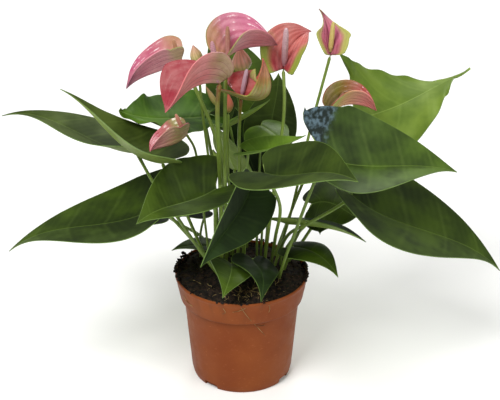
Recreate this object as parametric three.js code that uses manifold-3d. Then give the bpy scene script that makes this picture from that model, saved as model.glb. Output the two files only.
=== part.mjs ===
// A flamingo flower (an aroid house plant) growing in a plastic nursery pot.
// Millimetres, +Z up. The origin is the middle of the pot's flat underside, and -Y is the plant's front.

import * as THREE from 'three';
import { mergeVertices } from 'three/addons/utils/BufferGeometryUtils.js';
import Module from 'manifold-3d';

const wasm = await Module();
wasm.setup();

// The pot: a 12 cm nursery pot, a thin tapered cup with a flared rim band.
const POT_HEIGHT = 102;
const RIM_RADIUS = 60;
const RIM_ROUND = 1;
const BAND_FOOT_Z = 78.5;
const BAND_FOOT_RADIUS = 55.5;
const BODY_TOP_RADIUS = 52.2;
const BODY_FOOT_RADIUS = 46;
const BODY_FOOT_Z = 8;
const FOOT_RADIUS = 44.5;
const FOOT_ROUND = 1.5;
const POT_WALL = 1.6;
const POT_SIDES = 40;
// The rim band steps out over this height, on the outside and on the inside.
const BAND_STEP = 1;
const INNER_BAND_STEP = 3;
// The inner wall meets the floor in a small bevel, this high.
const INNER_FOOT_Z = 3;
// Drain notches cut into the foot, in degrees from +X.
const NOTCH_ANGLES = [-129, -31, 59, 149];
const NOTCH = { width: 14, height: 5, depth: 7 };

// The soil: it fills the pot and rises to a low, lumpy mound.
const SOIL_EDGE_Z = 98;
const SOIL_MIDDLE_Z = 105;
const SOIL_LUMP = 1.3;
// The lumps are two crossed waves and a slanting one: radians a millimetre in x and y.
const BROAD_WAVE = [0.31, 0.27];
const SLANT_WAVE = [0.7, -0.53];
const SLANT_SHARE = 0.6;
const SOIL_CLEAR = 0.5;
const SOIL_EDGE_INSET = 1;
const SOIL_SIDES = 24;
const SOIL_RINGS = 6;

// The plant's soft parts.
const LEAF_THICKNESS = 1;
const SPATHE_THICKNESS = 1;
const PETIOLE_RADIUS = 1.6;
const YOUNG_PETIOLE_RADIUS = 1.2;
const YOUNG_WIDTH = 60;
const STALK_SIDES = 6;
const STALK_STEPS = 8;
const BUD_SIDES = 10;
const BLADE_ROWS = 11;
const BLADE_COLUMNS = 2;
// The first share of the margin is fed by veins that all start at the petiole's joint.
const LOBE_SHARE = 0.22;
// How the side veins' starts are spread along the midrib.
const RIB_LEAVING = 1.15;
const RIB_ARRIVING = 1.1;
// An opened sinus reaches this share of the half width.
const SINUS_REACH = 0.8;
// A wavy margin has three ripples a side, out of step with each other.
const RIPPLES = 3;
const FAR_RIPPLE_SHIFT = 1.3;
// How late a drip tip is drawn out, and how far along the midrib a cut-away base reaches.
const DRIP_POWER = 8;
const CUT_REACH = 0.45;
// A folded sheet's corner moves out by at most half the thickness divided by this.
const SHARPEST_FOLD = 0.7;

// Stalks start this high, inside the soil, each in a pocket that is wider by the gap.
const ROOT_Z = 90;
const POCKET_GAP = 0.7;
// Where a stalk is given no points to pass, it climbs steeply and then leans out.
const CLIMB = [0.35, 0.7];
const LEAN_POWER = 1.25;
// Round a spathe's joint: how far its peduncle stops short, where its spadix starts, and the room kept clear.
const PEDUNCLE_SHORT = 1;
const SPADIX_RISE = 0.8;
const SPADIX_SHIFT = 1.6;
// A spadix is thicker the longer it is.
const SPADIX_LEAST_RADIUS = 1;
const SPADIX_GIRTH = 0.045;
const ROOM_RADIUS = 1.35;
const ROOM_REACH = 14;

const COLOURS = {
  leaf: 0x3d5a22, stalk: 0x7a8c3a, spathe: 0xd9667a, spadix: 0xb98a9a, bud: 0xc98a7a, pot: 0x9a4a26, soil: 0x241a14,
};
const ROUGHNESS = { leaf: 0.35, stalk: 0.5, spathe: 0.4, spadix: 0.7, bud: 0.5, pot: 0.55, soil: 1 };

const vec = (p) => new THREE.Vector3(p[0], p[1], p[2]);
const flat = (p) => new THREE.Vector2(p[0], p[1]);
const radians = THREE.MathUtils.degToRad;

// Leaves
// joint = where the petiole meets the blade, and tip = the drip tip. width is the blade laid flat, roll tips the
// blade about its midrib, fold raises both halves in degrees, curl rounds them and twist turns the tip. bow = how far
// the midrib swings sideways and up, near the joint and near the tip. wave ripples the margin. lobe lengthens the
// lobes, sinus opens the notch between them, and drip draws out the tip. farFold, farLobe and farCut are for the half
// on the far side of the midrib. root = where the petiole leaves the soil, and via = points that it passes to get
// round its neighbours.

const LEAVES = [
  {
    name: 'leaf_left_far', joint: [-93, 24, 209], tip: [-218, 70, 224], width: 90, roll: -20, fold: 12,
    bow: [2, -10, -2, 24], curl: 0, twist: 25, drip: 0.2, root: [-9, -16],
    via: [[-34, -20, 130], [-62, -22, 179], [-75, -13, 195]],
  },
  {
    name: 'leaf_left_high', joint: [-68, -20, 220], tip: [-154, -2, 281], width: 76, roll: -10, fold: 27,
    bow: [2, -22, 2, 6], curl: 0, drip: 0.22, root: [-26, 14], via: [[-40, 4, 134], [-53, -7, 176]],
  },
  {
    name: 'leaf_left_back', joint: [-34, 55, 230], tip: [-105, 0, 260], width: 70, roll: 8, fold: 9,
    bow: [10, -10, 6, -10], curl: -0.05, twist: 15, wave: 3.5, root: [-21, 42],
    via: [[-23, 46, 139], [-27, 51, 191]],
  },
  {
    name: 'leaf_left_low', joint: [-72, -20, 180], tip: [-206, -16, 131], width: 102, roll: 5, fold: 5,
    bow: [-4, -16, 6, 20], curl: -0.1, twist: -5, drip: 0.05, root: [-16, -1],
    via: [[-33, -9, 124], [-56, -15, 158]],
  },
  {
    name: 'leaf_left_front', joint: [-22, -28, 199], tip: [-86, -95, 200], width: 78, roll: 5, fold: 20,
    bow: [5, -10, 2, 10], curl: -0.1, twist: 25, lobe: 1.5, sinus: 2.2, root: [-23, 5],
    via: [[-23, -6, 128], [-23, -17, 163]],
  },
  {
    name: 'leaf_front', joint: [9, -42, 209], tip: [-33, -116, 171], width: 56, roll: 68, fold: 25,
    bow: [-6, 4, 6, 6], curl: 0.05, lobe: 0.3, root: [1, 10], via: [[3, -5, 130], [6, -27, 178]],
  },
  {
    name: 'leaf_front_small_left', joint: [-9, -20, 121], tip: [-16, -76, 118], width: 41, roll: 15, fold: 8,
    bow: [-2, 9, -2, 12], curl: 0.1, root: [-11, 6], via: [[-10, -3, 102], [-9, -13, 113]],
  },
  {
    name: 'leaf_front_small_right', joint: [10, -12, 121], tip: [17, -70, 111], width: 42, roll: 15, fold: 5,
    bow: [0, 5, -2, 24], curl: 0.2, twist: 5, root: [11, 12], via: [[12, 3, 103], [11, -5, 113]],
  },
  {
    name: 'leaf_right_low', joint: [47, 0, 127], tip: [85, -38, 117], width: 40, roll: 0, fold: 5,
    bow: [0, 10, -2, 12], curl: 0.2, root: [36, 3], via: [[39, 2, 103], [43, 1, 117]],
  },
  {
    name: 'leaf_right_narrow', joint: [41, 5, 148], tip: [109, -30, 148], width: 44, roll: 25, fold: 20,
    bow: [0, 4, 0, 8], curl: 0.1, root: [33, 10], via: [[36, 8, 113], [38, 7, 133]],
  },
  {
    name: 'leaf_right_inner', joint: [64, 30, 155], tip: [102, -8, 162], width: 58, roll: -38, fold: -10,
    bow: [-14, 0, -2, -12], curl: 0.15, root: [37, 23], via: [[46, 25, 113], [56, 28, 135]],
  },
  {
    name: 'leaf_right_front', joint: [20, -72, 236], tip: [92, -142, 262], width: 82, roll: 0, fold: 22,
    farFold: 6, bow: [0, -6, 2, 16], curl: 0, twist: -18, root: [26, 20], via: [[30, -11, 142], [33, -45, 192]],
  },
  {
    name: 'leaf_right_big', joint: [71, -34, 232], tip: [187, -14, 208], width: 97, roll: -35, fold: 25,
    bow: [6, -12, -6, 6], curl: -0.05, twist: 20, lobe: 1.6, sinus: 1.3, root: [31, -11],
    via: [[39, -24, 130], [46, -27, 153], [59, -31, 196]],
  },
  {
    name: 'leaf_right_low_big', joint: [98, -12, 184], tip: [234, 4, 100], width: 116, roll: -15, fold: 17,
    bow: [8, -10, -4, 20], curl: 0.05, twist: -5, drip: 0.04, root: [26, 6],
    via: [[40, 1, 136], [58, -22, 162], [80, -24, 177]],
  },
  {
    name: 'leaf_right_high', joint: [103, 80, 217], tip: [216, 143, 240], width: 104, roll: -64, fold: 4,
    bow: [10, 8, 0, 2], curl: -0.1, twist: 104, wave: 2, drip: 0.14, base: 'square', root: [34, 14],
    via: [[69, 34, 138], [94, 64, 180]],
  },
  {
    name: 'leaf_back_middle', joint: [-2, 106, 214], tip: [-27, 140, 289], width: 75, roll: 8, fold: 15,
    bow: [0, 8, -6, 16], curl: 0, twist: -5, sinus: 1, root: [5, 38], via: [[3, 60, 137], [0, 85, 180]],
  },
  {
    name: 'leaf_back_right', joint: [24, 24, 222], tip: [33, 66, 268], width: 48, roll: -5, fold: 10,
    bow: [0, 3, 3, 2], curl: 0.05, root: [17, 26], via: [[19, 23, 137], [23, 21, 181]],
  },
  {
    name: 'leaf_glossy', joint: [17, 14, 240], tip: [41, -14, 230], width: 42, roll: -10, fold: -5,
    bow: [0, 4, 0, 4], curl: 0.2, root: [14, 20], via: [[14, 15, 138], [16, 12, 199]],
  },
  {
    name: 'leaf_young', joint: [6, -14, 228], tip: [54, -46, 258], width: 28, roll: -15, fold: 20,
    bow: [0, -4, 0, -4], curl: -0.05, root: [0, 16], via: [[2, 6, 139], [4, -6, 190]],
  },
  {
    name: 'leaf_sliver', joint: [-10, 14, 240], tip: [25, 22, 261], width: 14, roll: 20, fold: 30,
    bow: [0, -2, 0, -2], curl: 0, root: [-2, 34], via: [[-3, 32, 147], [-3, 29, 188]],
  },
  {
    name: 'leaf_behind_stalks', joint: [-6, 26, 193], tip: [-25, 12, 242], width: 56, roll: 0, fold: 10,
    bow: [0, 0, 0, 4], curl: 0.1, root: [-10, 28], via: [[-9, 27, 126], [-7, 27, 165]],
  },
  {
    name: 'leaf_centre', joint: [12, 58, 172], tip: [-6, 62, 236], width: 62, roll: 82, fold: 8,
    bow: [0, 4, 0, 4], curl: 0.1, root: [21, 41], via: [[24, 49, 126], [23, 51, 150]],
  },
  {
    name: 'leaf_low_left', joint: [-28, 28, 112], tip: [-64, 22, 111], width: 26, roll: 0, fold: 14,
    bow: [0, 3, 0, 5], curl: 0.1, root: [-24, 32], via: [[-25, 31, 98], [-27, 30, 104]],
  },
  {
    name: 'leaf_under_left', joint: [-30, 30, 148], tip: [-58, 34, 138], width: 30, roll: 5, fold: 8,
    bow: [0, 3, 0, 6], curl: 0.1, root: [-37, 15], via: [[-38, 43, 118], [-33, 39, 140]],
  },
  {
    name: 'leaf_rear_left', joint: [-72, 62, 128], tip: [-150, 110, 102], width: 78, roll: 0, fold: 12,
    bow: [0, 6, 0, 16], curl: 0.1, root: [-27, 22], via: [[-35, 43, 111], [-58, 55, 121]],
  },
  {
    name: 'leaf_rear_right', joint: [92, 66, 140], tip: [168, 120, 118], width: 80, roll: 0, fold: 12,
    bow: [0, 6, 0, 16], curl: 0.1, root: [31, 27], via: [[45, 35, 113], [63, 47, 128]],
  },
  {
    name: 'leaf_rear_low', joint: [2, 76, 136], tip: [2, 146, 92], width: 62, roll: 0, fold: 12,
    bow: [0, 6, 0, 14], curl: 0.1, root: [-2, 40], via: [[0, 51, 106], [1, 64, 123]],
  },
];

// Flowers
// Each is a spathe on a peduncle: stalk = the peduncle's radius, and spadix = the top of the spike that stands
// on the spathe's joint.

const FLOWERS = [
  {
    name: 'left', joint: [-50, -15, 313], tip: [-95, -34, 295], width: 60, roll: -12, fold: 45,
    bow: [4, -4, 2, 6], curl: 0.05, twist: -13, stalk: 1.8, spadix: [-56, -17, 332], root: [-21, 13],
    via: [[-17, -4, 195], [-22, -15, 242], [-36, -15, 281]],
  },
  {
    name: 'front', joint: [-17, -64, 313], tip: [-60, -92, 299], width: 62, roll: -18, fold: 32,
    bow: [9, 12, 6, 2], curl: -0.3, twist: 6, lobe: 0.8, farLobe: -0.3, farCut: 0.55, stalk: 2.1,
    spadix: [-23, -59, 347], root: [-18, 8], via: [[-18, -23, 195], [-19, -40, 247], [-19, -56, 290]],
  },
  {
    name: 'top', joint: [-12, -20, 316], tip: [31, 9, 317], width: 66, roll: -11, fold: 60, bow: [-10, 4, 2, 4],
    curl: 0, twist: 5, stalk: 1.8, spadix: [-11, -15, 343], root: [-14, 14],
    via: [[-14, -7, 193], [-14, -15, 240], [-13, -19, 287]],
  },
  {
    name: 'upper_right', joint: [36, 10, 295], tip: [61, 46, 315], width: 58, roll: 0, fold: 62, farFold: 36,
    bow: [-6, 3, -6, 8], curl: 0, twist: -8, lobe: 1.7, sinus: 1.3, stalk: 1.6, spadix: [38, 2, 335],
    root: [19, 9], via: [[29, -18, 199], [36, -10, 254], [37, -1, 274]],
  },
  {
    name: 'tall', joint: [75, -9, 315], tip: [66, 24, 344], width: 54, roll: 0, fold: 58, bow: [2, -5, 6, 0],
    curl: 0.1, lobe: 1.4, sinus: 1.2, drip: 0.3, stalk: 1.4, spadix: [77, -5, 343], root: [26, 29],
    via: [[40, 27, 129], [60, 9, 238], [69, -1, 284]],
  },
  {
    name: 'middle', joint: [0, -24, 282], tip: [18, -36, 323], width: 54, roll: -28, fold: 50,
    bow: [12, -30, 0, -16], curl: 0.05, twist: -7, stalk: 1.6, spadix: [5, -20, 307], root: [-4, 12],
    via: [[-2, 5, 190], [-2, -2, 234], [-1, -13, 261]],
  },
  {
    name: 'low_right', joint: [81, 37, 244], tip: [121, 55, 236], width: 50, roll: -17, fold: 70,
    bow: [-8, 5, -3, 6], curl: 0.05, twist: 4, stalk: 1.5, spadix: [90, 41, 260], root: [28, 37],
    via: [[50, 38, 157], [74, 38, 222]],
  },
  {
    name: 'low_left', joint: [-46, -27, 250], tip: [-76, -52, 246], width: 43, roll: -17, fold: 54,
    bow: [5, -8, 7, 0], curl: 0.05, twist: -18, stalk: 1.2, spadix: [-55, -27, 269], root: [-27, 4],
    via: [[-37, 5, 194], [-40, -3, 224]],
  },
];

// Buds: rolled spathes that haven't opened, each one piece with its stalk.

const BUDS = [
  {
    name: 'bud_middle', tip: [-1, 12, 314], foot: [1, 12, 290], radius: 9, root: [1, 37],
    via: [[1, 35, 158], [-2, 26, 240]],
  },
  {
    name: 'bud_left', tip: [-40, -12, 325], foot: [-36, -12, 309], radius: 5.5, root: [-19, 18],
    via: [[-28, 5, 205], [-33, -3, 259]],
  },
  {
    name: 'bud_slim', tip: [-30, -5, 285], foot: [-21, -5, 267], radius: 2.6, root: [-12, 24],
    via: [[-16, 5, 207], [-20, -2, 247]],
  },
  {
    name: 'bud_low', tip: [-11, 5, 274], foot: [-11, 5, 256], radius: 4.5, root: [-7, 17],
    via: [[-9, 12, 150], [-12, 7, 210]],
  },
];

// Solids

function solidOf(geometry) {
  const bare = geometry.clone();
  bare.deleteAttribute('normal');
  bare.deleteAttribute('uv');
  const merged = mergeVertices(bare, 1e-4);
  return new wasm.Manifold(new wasm.Mesh({
    numProp: 3,
    vertProperties: new Float32Array(merged.attributes.position.array),
    triVerts: new Uint32Array(merged.index.array),
  }));
}

function geometryOf(solid) {
  const mesh = solid.getMesh();
  const geometry = new THREE.BufferGeometry();
  geometry.setAttribute('position', new THREE.BufferAttribute(mesh.vertProperties, mesh.numProp));
  geometry.setIndex(new THREE.BufferAttribute(mesh.triVerts, 1));
  geometry.computeVertexNormals();
  return geometry;
}

// A trimmed stalk can leave a sliver beyond the sheet that trims it: only the main piece is kept.
function largestPiece(solid) {
  return solid.decompose().reduce((best, piece) => (piece.volume() > best.volume() ? piece : best));
}

// Blades
// A leaf and a spathe are both heart-shaped sheets with a midrib from the joint to the tip. An outline point is
// (along the midrib as a share of its length, across as a share of the half width), from the sinus to the tip.

const LEAF_OUTLINE = [
  [0, 0], [-0.07, 0.16], [-0.15, 0.36], [-0.15, 0.62], [-0.06, 0.85], [0.1, 1],
  [0.3, 0.95], [0.5, 0.76], [0.68, 0.5], [0.82, 0.26], [0.92, 0.1], [1, 0],
];
// A leaf whose base looks cut straight across, with a corner that stands up.
const SQUARE_OUTLINE = [
  [0, 0], [0.01, 0.3], [0.01, 0.62], [-0.02, 0.92], [-0.07, 1.16], [-0.03, 1.12], [0.08, 0.98],
  [0.28, 0.86], [0.5, 0.72], [0.68, 0.5], [0.82, 0.26], [0.92, 0.1], [1, 0],
];
const SPATHE_OUTLINE = [
  [0, 0], [-0.05, 0.14], [-0.14, 0.34], [-0.16, 0.6], [-0.06, 0.86], [0.12, 1],
  [0.32, 0.97], [0.54, 0.78], [0.74, 0.47], [0.89, 0.17], [1, 0],
];

// The blade's own directions: along its midrib, to its side and up out of its face.
function bladeFrame(blade) {
  const joint = vec(blade.joint);
  const along = vec(blade.tip).sub(joint);
  const length = along.length();
  along.normalize();
  const side = new THREE.Vector3().crossVectors(along, new THREE.Vector3(0, 0, 1)).normalize();
  const face = new THREE.Vector3().crossVectors(side, along);
  const roll = radians(blade.roll);
  return {
    joint, along, length,
    side: side.clone().multiplyScalar(Math.cos(roll)).addScaledVector(face, Math.sin(roll)),
    face: face.clone().multiplyScalar(Math.cos(roll)).addScaledVector(side, -Math.sin(roll)),
  };
}

// The midrib is a cubic curve from the joint to the tip, and runs on straight behind the joint.
function midribPoint(frame, bow, t) {
  const c = Math.min(Math.max(t, 0), 1);
  const near = 3 * (1 - c) ** 2 * c;
  const far = 3 * (1 - c) * c ** 2;
  const behind = 3 * Math.min(t, 0);
  return frame.joint.clone()
    .addScaledVector(frame.along, frame.length * t)
    .addScaledVector(frame.side, bow[0] * (near + behind) + bow[2] * far)
    .addScaledVector(frame.face, bow[1] * (near + behind) + bow[3] * far);
}

function midribDirection(frame, bow, t) {
  const step = 1e-3;
  return midribPoint(frame, bow, t + step).sub(midribPoint(frame, bow, t - step)).normalize();
}

// The margin's point as this blade has it: its lobes may be longer or shorter, its far half cut away near
// the joint, its sinus open and its tip drawn out.
function marginPoint(blade, [along, reach], share, across) {
  const lobe = across > 0 ? blade.farLobe ?? blade.lobe ?? 1 : blade.lobe ?? 1;
  const cut = across > 0 ? blade.farCut ?? 0 : 0;
  const kept = 1 - cut * Math.max(0, 1 - Math.max(along, 0) / CUT_REACH);
  if (along >= 0) return [along + (blade.drip ?? 0) * (along ** DRIP_POWER - along), reach * kept];
  const opened = Math.min(reach * (blade.sinus ?? 1), Math.max(reach, SINUS_REACH));
  return [along * lobe, (share < LOBE_SHARE ? opened : reach) * kept];
}

// The blade's point on the vein that feeds the given share of the margin; across runs from -1 to 1.
function bladePoint(blade, frame, margin, share, across) {
  const halfWidth = blade.width / 2;
  const spread = Math.abs(across);
  const [along, reach] = marginPoint(blade, margin, share, across);
  const flow = Math.max(0, (share - LOBE_SHARE) / (1 - LOBE_SHARE));
  const rib = (1 - (1 - flow) ** RIB_LEAVING) ** RIB_ARRIVING;
  const x = (1 - spread) * rib + spread * along;
  const y = spread * reach * halfWidth;
  const inside = Math.min(Math.max(x, 0), 1);
  const direction = midribDirection(frame, blade.bow, inside);
  const side = frame.side.clone().addScaledVector(direction, -frame.side.dot(direction)).normalize();
  const face = new THREE.Vector3().crossVectors(side, direction);
  const twist = radians(blade.twist ?? 0) * inside;
  const turnedSide = side.clone().multiplyScalar(Math.cos(twist)).addScaledVector(face, Math.sin(twist));
  const turnedFace = face.clone().multiplyScalar(Math.cos(twist)).addScaledVector(side, -Math.sin(twist));
  const fold = radians(across > 0 ? blade.farFold ?? blade.fold : blade.fold);
  const phase = RIPPLES * 2 * Math.PI * share + (across > 0 ? FAR_RIPPLE_SHIFT : 0);
  const ripple = (blade.wave ?? 0) * Math.sin(phase) * spread ** 2;
  const rise = y * Math.sin(fold) - blade.curl * halfWidth * (y / halfWidth) ** 2 + ripple;
  return midribPoint(frame, blade.bow, x)
    .addScaledVector(turnedSide, Math.sign(across) * y * Math.cos(fold))
    .addScaledVector(turnedFace, rise);
}

function bladeSheet(blade, outline) {
  const frame = bladeFrame(blade);
  const margin = new THREE.SplineCurve(outline.map(flat)).getSpacedPoints(BLADE_ROWS);
  const positions = [];
  margin.forEach((point, row) => {
    for (let column = -BLADE_COLUMNS; column <= BLADE_COLUMNS; column += 1) {
      const place = bladePoint(blade, frame, [point.x, point.y], row / BLADE_ROWS, column / BLADE_COLUMNS);
      positions.push(place.x, place.y, place.z);
    }
  });
  const wide = 2 * BLADE_COLUMNS + 1;
  const index = [];
  for (let row = 0; row < BLADE_ROWS; row += 1) {
    for (let column = 0; column < wide - 1; column += 1) {
      const a = row * wide + column;
      index.push(a, a + wide + 1, a + wide, a, a + 1, a + wide + 1);
    }
  }
  const geometry = new THREE.BufferGeometry();
  geometry.setAttribute('position', new THREE.Float32BufferAttribute(positions, 3));
  geometry.setIndex(index);
  return mergeVertices(geometry, 1e-2);
}

// The sheet's triangles, without those that shrink to a line at the joint and at the tip.
function sheetFaces(sheet) {
  const corners = sheet.index.array;
  const faces = [];
  for (let i = 0; i < corners.length; i += 3) {
    const [a, b, c] = [corners[i], corners[i + 1], corners[i + 2]];
    if (a !== b && b !== c && c !== a) faces.push([a, b, c]);
  }
  return faces;
}

function attributeVectors(attribute) {
  return Array.from({ length: attribute.count }, (_, i) => new THREE.Vector3().fromBufferAttribute(attribute, i));
}

// A sheet becomes a thin closed body: both faces and a rim along its open edge. Where the sheet is folded, its
// corners are moved further so that the body keeps its thickness.
function thicken(sheet, thickness) {
  const faces = sheetFaces(sheet);
  sheet.setIndex(faces.flat());
  sheet.computeVertexNormals();
  const places = attributeVectors(sheet.attributes.position);
  const normals = attributeVectors(sheet.attributes.normal);
  const slant = places.map(() => 1);
  for (const face of faces) {
    const normal = new THREE.Triangle(...face.map((i) => places[i])).getNormal(new THREE.Vector3());
    for (const i of face) slant[i] = Math.min(slant[i], normal.dot(normals[i]));
  }
  const count = places.length;
  const positions = [];
  for (const side of [1, -1]) {
    places.forEach((place, i) => {
      const offset = (side * thickness) / 2 / Math.max(slant[i], SHARPEST_FOLD);
      positions.push(...place.clone().addScaledVector(normals[i], offset).toArray());
    });
  }
  const index = [];
  const edges = new Set();
  for (const [a, b, c] of faces) {
    index.push(a, b, c, a + count, c + count, b + count);
    for (const [from, to] of [[a, b], [b, c], [c, a]]) edges.add(`${from},${to}`);
  }
  for (const edge of edges) {
    const [from, to] = edge.split(',').map(Number);
    if (!edges.has(`${to},${from}`)) index.push(to, from, from + count, to, from + count, to + count);
  }
  const geometry = new THREE.BufferGeometry();
  geometry.setAttribute('position', new THREE.Float32BufferAttribute(positions, 3));
  geometry.setIndex(index);
  return geometry;
}

const bladeSolid = (blade, outline, thickness) => solidOf(thicken(bladeSheet(blade, outline), thickness));

// The room that a spathe needs round its joint: every face of its sheet there, swelled by a ball.
function roomRound(sheet, joint) {
  const ball = attributeVectors(new THREE.IcosahedronGeometry(ROOM_RADIUS, 0).attributes.position);
  const places = attributeVectors(sheet.attributes.position);
  const rooms = sheetFaces(sheet)
    .map((face) => face.map((i) => places[i]))
    .filter((face) => face.some((corner) => corner.distanceTo(joint) < ROOM_REACH))
    .map((face) => face.flatMap((corner) => ball.map((point) => corner.clone().add(point).toArray())))
    .map((points) => wasm.Manifold.hull(points));
  return wasm.Manifold.union(rooms);
}

// Stalks

// A stalk comes up from its root in the soil and runs through its points to its end.
function stalkCurve(plan, end) {
  const root = new THREE.Vector3(plan.root[0], plan.root[1], ROOT_Z);
  const reach = end.clone().sub(root);
  const climb = CLIMB.map((share) => new THREE.Vector3(
    root.x + reach.x * share ** LEAN_POWER,
    root.y + reach.y * share ** LEAN_POWER,
    root.z + reach.z * share,
  ));
  const between = plan.via ? plan.via.map(vec) : climb;
  return new THREE.CatmullRomCurve3([root, ...between, end], false, 'centripetal');
}

function stalkSolid(curve, radius) {
  const section = new THREE.Shape();
  for (let i = 0; i < STALK_SIDES; i += 1) {
    const angle = (i * 2 * Math.PI) / STALK_SIDES;
    const [x, y] = [radius * Math.cos(angle), radius * Math.sin(angle)];
    if (i === 0) section.moveTo(x, y);
    else section.lineTo(x, y);
  }
  section.closePath();
  return solidOf(new THREE.ExtrudeGeometry(section, { steps: STALK_STEPS, extrudePath: curve }));
}

// Turned pieces

function lathed(profile, sides) {
  return new THREE.LatheGeometry(profile.map(flat), sides);
}

function turnedAbout(profile, foot, tip, sides) {
  const geometry = lathed(profile, sides);
  const up = tip.clone().sub(foot).normalize();
  geometry.applyQuaternion(new THREE.Quaternion().setFromUnitVectors(new THREE.Vector3(0, 1, 0), up));
  geometry.translate(foot.x, foot.y, foot.z);
  return solidOf(geometry);
}

// Profiles of turned pieces: (radius as a share of the widest, height as a share of the length).
const SPADIX_PROFILE = [[0, 0], [0.5, 0], [0.95, 0.18], [1, 0.5], [0.8, 0.85], [0.45, 0.97], [0, 1]];
const BUD_PROFILE = [[0, 0], [0.6, 0.08], [1, 0.35], [0.8, 0.62], [0.3, 0.88], [0, 1]];

const sized = (profile, radius, length) => profile.map(([out, up]) => [out * radius, up * length]);

// The fleshy spike: a slim taper, thickest in its lower half.
function spadixSolid(foot, tip) {
  const length = foot.distanceTo(tip);
  const radius = SPADIX_LEAST_RADIUS + length * SPADIX_GIRTH;
  return turnedAbout(sized(SPADIX_PROFILE, radius, length), foot, tip, STALK_SIDES);
}

function budSolid(bud) {
  const foot = vec(bud.foot);
  const tip = vec(bud.tip);
  return turnedAbout(sized(BUD_PROFILE, bud.radius, foot.distanceTo(tip)), foot, tip, BUD_SIDES);
}

// Pot and soil

// The pot's inner wall from the rim down to the floor, [radius, z]
const POT_INSIDE = [
  [RIM_RADIUS - POT_WALL, POT_HEIGHT], [BAND_FOOT_RADIUS - POT_WALL, BAND_FOOT_Z + INNER_BAND_STEP],
  [BODY_TOP_RADIUS - POT_WALL, BAND_FOOT_Z], [FOOT_RADIUS - POT_WALL, INNER_FOOT_Z],
  [FOOT_RADIUS - 2 * POT_WALL, POT_WALL],
];

function potSolid() {
  const outside = [
    [0, 0], [FOOT_RADIUS - FOOT_ROUND, 0], [FOOT_RADIUS, FOOT_ROUND], [BODY_FOOT_RADIUS, BODY_FOOT_Z],
    [BODY_TOP_RADIUS, BAND_FOOT_Z - BAND_STEP], [BAND_FOOT_RADIUS, BAND_FOOT_Z + BAND_STEP],
    [RIM_RADIUS - RIM_ROUND, POT_HEIGHT - 3 * RIM_ROUND], [RIM_RADIUS, POT_HEIGHT - 2 * RIM_ROUND],
    [RIM_RADIUS, POT_HEIGHT],
  ];
  const whole = solidOf(lathed([...outside, ...POT_INSIDE, [0, POT_WALL]], POT_SIDES).rotateX(Math.PI / 2));
  const notches = NOTCH_ANGLES.map((angle) => {
    const notch = new THREE.BoxGeometry(NOTCH.depth, NOTCH.width, NOTCH.height * 2);
    notch.translate(FOOT_RADIUS, 0, 0);
    notch.rotateZ(radians(angle));
    return solidOf(notch);
  });
  return notches.reduce((pot, notch) => pot.subtract(notch), whole);
}

// The soil's top is a low mound with lumps, and every stalk stands in a pocket of its own.
function soilSolid(pockets) {
  const side = POT_INSIDE.slice(1).reverse().map(([radius, z]) => [radius - SOIL_CLEAR, z + SOIL_CLEAR]);
  const edge = RIM_RADIUS - POT_WALL - SOIL_CLEAR - SOIL_EDGE_INSET;
  const top = [];
  for (let ring = SOIL_RINGS; ring > 0; ring -= 1) {
    const share = ring / SOIL_RINGS;
    top.push([edge * share, SOIL_EDGE_Z + (SOIL_MIDDLE_Z - SOIL_EDGE_Z) * (1 - share ** 2)]);
  }
  const profile = [[0, POT_WALL + SOIL_CLEAR], ...side, ...top, [0, SOIL_MIDDLE_Z]];
  const geometry = lathed(profile, SOIL_SIDES).rotateX(Math.PI / 2);
  const place = geometry.attributes.position;
  for (let i = 0; i < place.count; i += 1) {
    const [x, y, z] = [place.getX(i), place.getY(i), place.getZ(i)];
    const broad = Math.sin(x * BROAD_WAVE[0] + 1) * Math.sin(y * BROAD_WAVE[1] + 2);
    const slant = Math.sin(x * SLANT_WAVE[0] + y * SLANT_WAVE[1]);
    if (z > SOIL_EDGE_Z) place.setZ(i, z + SOIL_LUMP * (broad + SLANT_SHARE * slant));
  }
  return pockets.reduce((soil, pocket) => soil.subtract(pocket), solidOf(geometry));
}

// Assembly

const plant = new THREE.Group();
const pockets = [];

function addPiece(name, solid, kind) {
  const look = { color: COLOURS[kind], roughness: ROUGHNESS[kind], metalness: 0 };
  const material = new THREE.MeshStandardMaterial(look);
  const mesh = new THREE.Mesh(geometryOf(solid), material);
  mesh.name = name;
  plant.add(mesh);
}

// A stalk, and its pocket in the soil, which starts a gap below it.
function stalk(plan, end, radius) {
  const curve = stalkCurve(plan, end);
  const pocketCurve = curve.clone();
  pocketCurve.points[0].addScaledVector(curve.getTangent(0), -POCKET_GAP);
  pockets.push(stalkSolid(pocketCurve, radius + POCKET_GAP));
  return stalkSolid(curve, radius);
}

for (const leaf of LEAVES) {
  const radius = leaf.width < YOUNG_WIDTH ? YOUNG_PETIOLE_RADIUS : PETIOLE_RADIUS;
  const outline = leaf.base === 'square' ? SQUARE_OUTLINE : LEAF_OUTLINE;
  const blade = bladeSolid(leaf, outline, LEAF_THICKNESS);
  addPiece(leaf.name, blade.add(stalk(leaf, vec(leaf.joint), radius)), 'leaf');
}

// A peduncle ends just short of the joint and the spadix stands just past it, both cut back by the spathe.
for (const flower of FLOWERS) {
  const joint = vec(flower.joint);
  const arrival = joint.clone().sub(vec(flower.via.at(-1))).normalize();
  const room = roomRound(bladeSheet(flower, SPATHE_OUTLINE), joint);
  const end = joint.clone().addScaledVector(arrival, -PEDUNCLE_SHORT);
  const foot = joint.clone()
    .addScaledVector(arrival, SPADIX_RISE)
    .addScaledVector(bladeFrame(flower).along, SPADIX_SHIFT);
  const peduncle = stalk(flower, end, flower.stalk).subtract(room);
  const spadix = spadixSolid(foot, vec(flower.spadix)).subtract(room);
  addPiece(`spathe_${flower.name}`, bladeSolid(flower, SPATHE_OUTLINE, SPATHE_THICKNESS), 'spathe');
  addPiece(`peduncle_${flower.name}`, largestPiece(peduncle), 'stalk');
  addPiece(`spadix_${flower.name}`, largestPiece(spadix), 'spadix');
}

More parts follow.
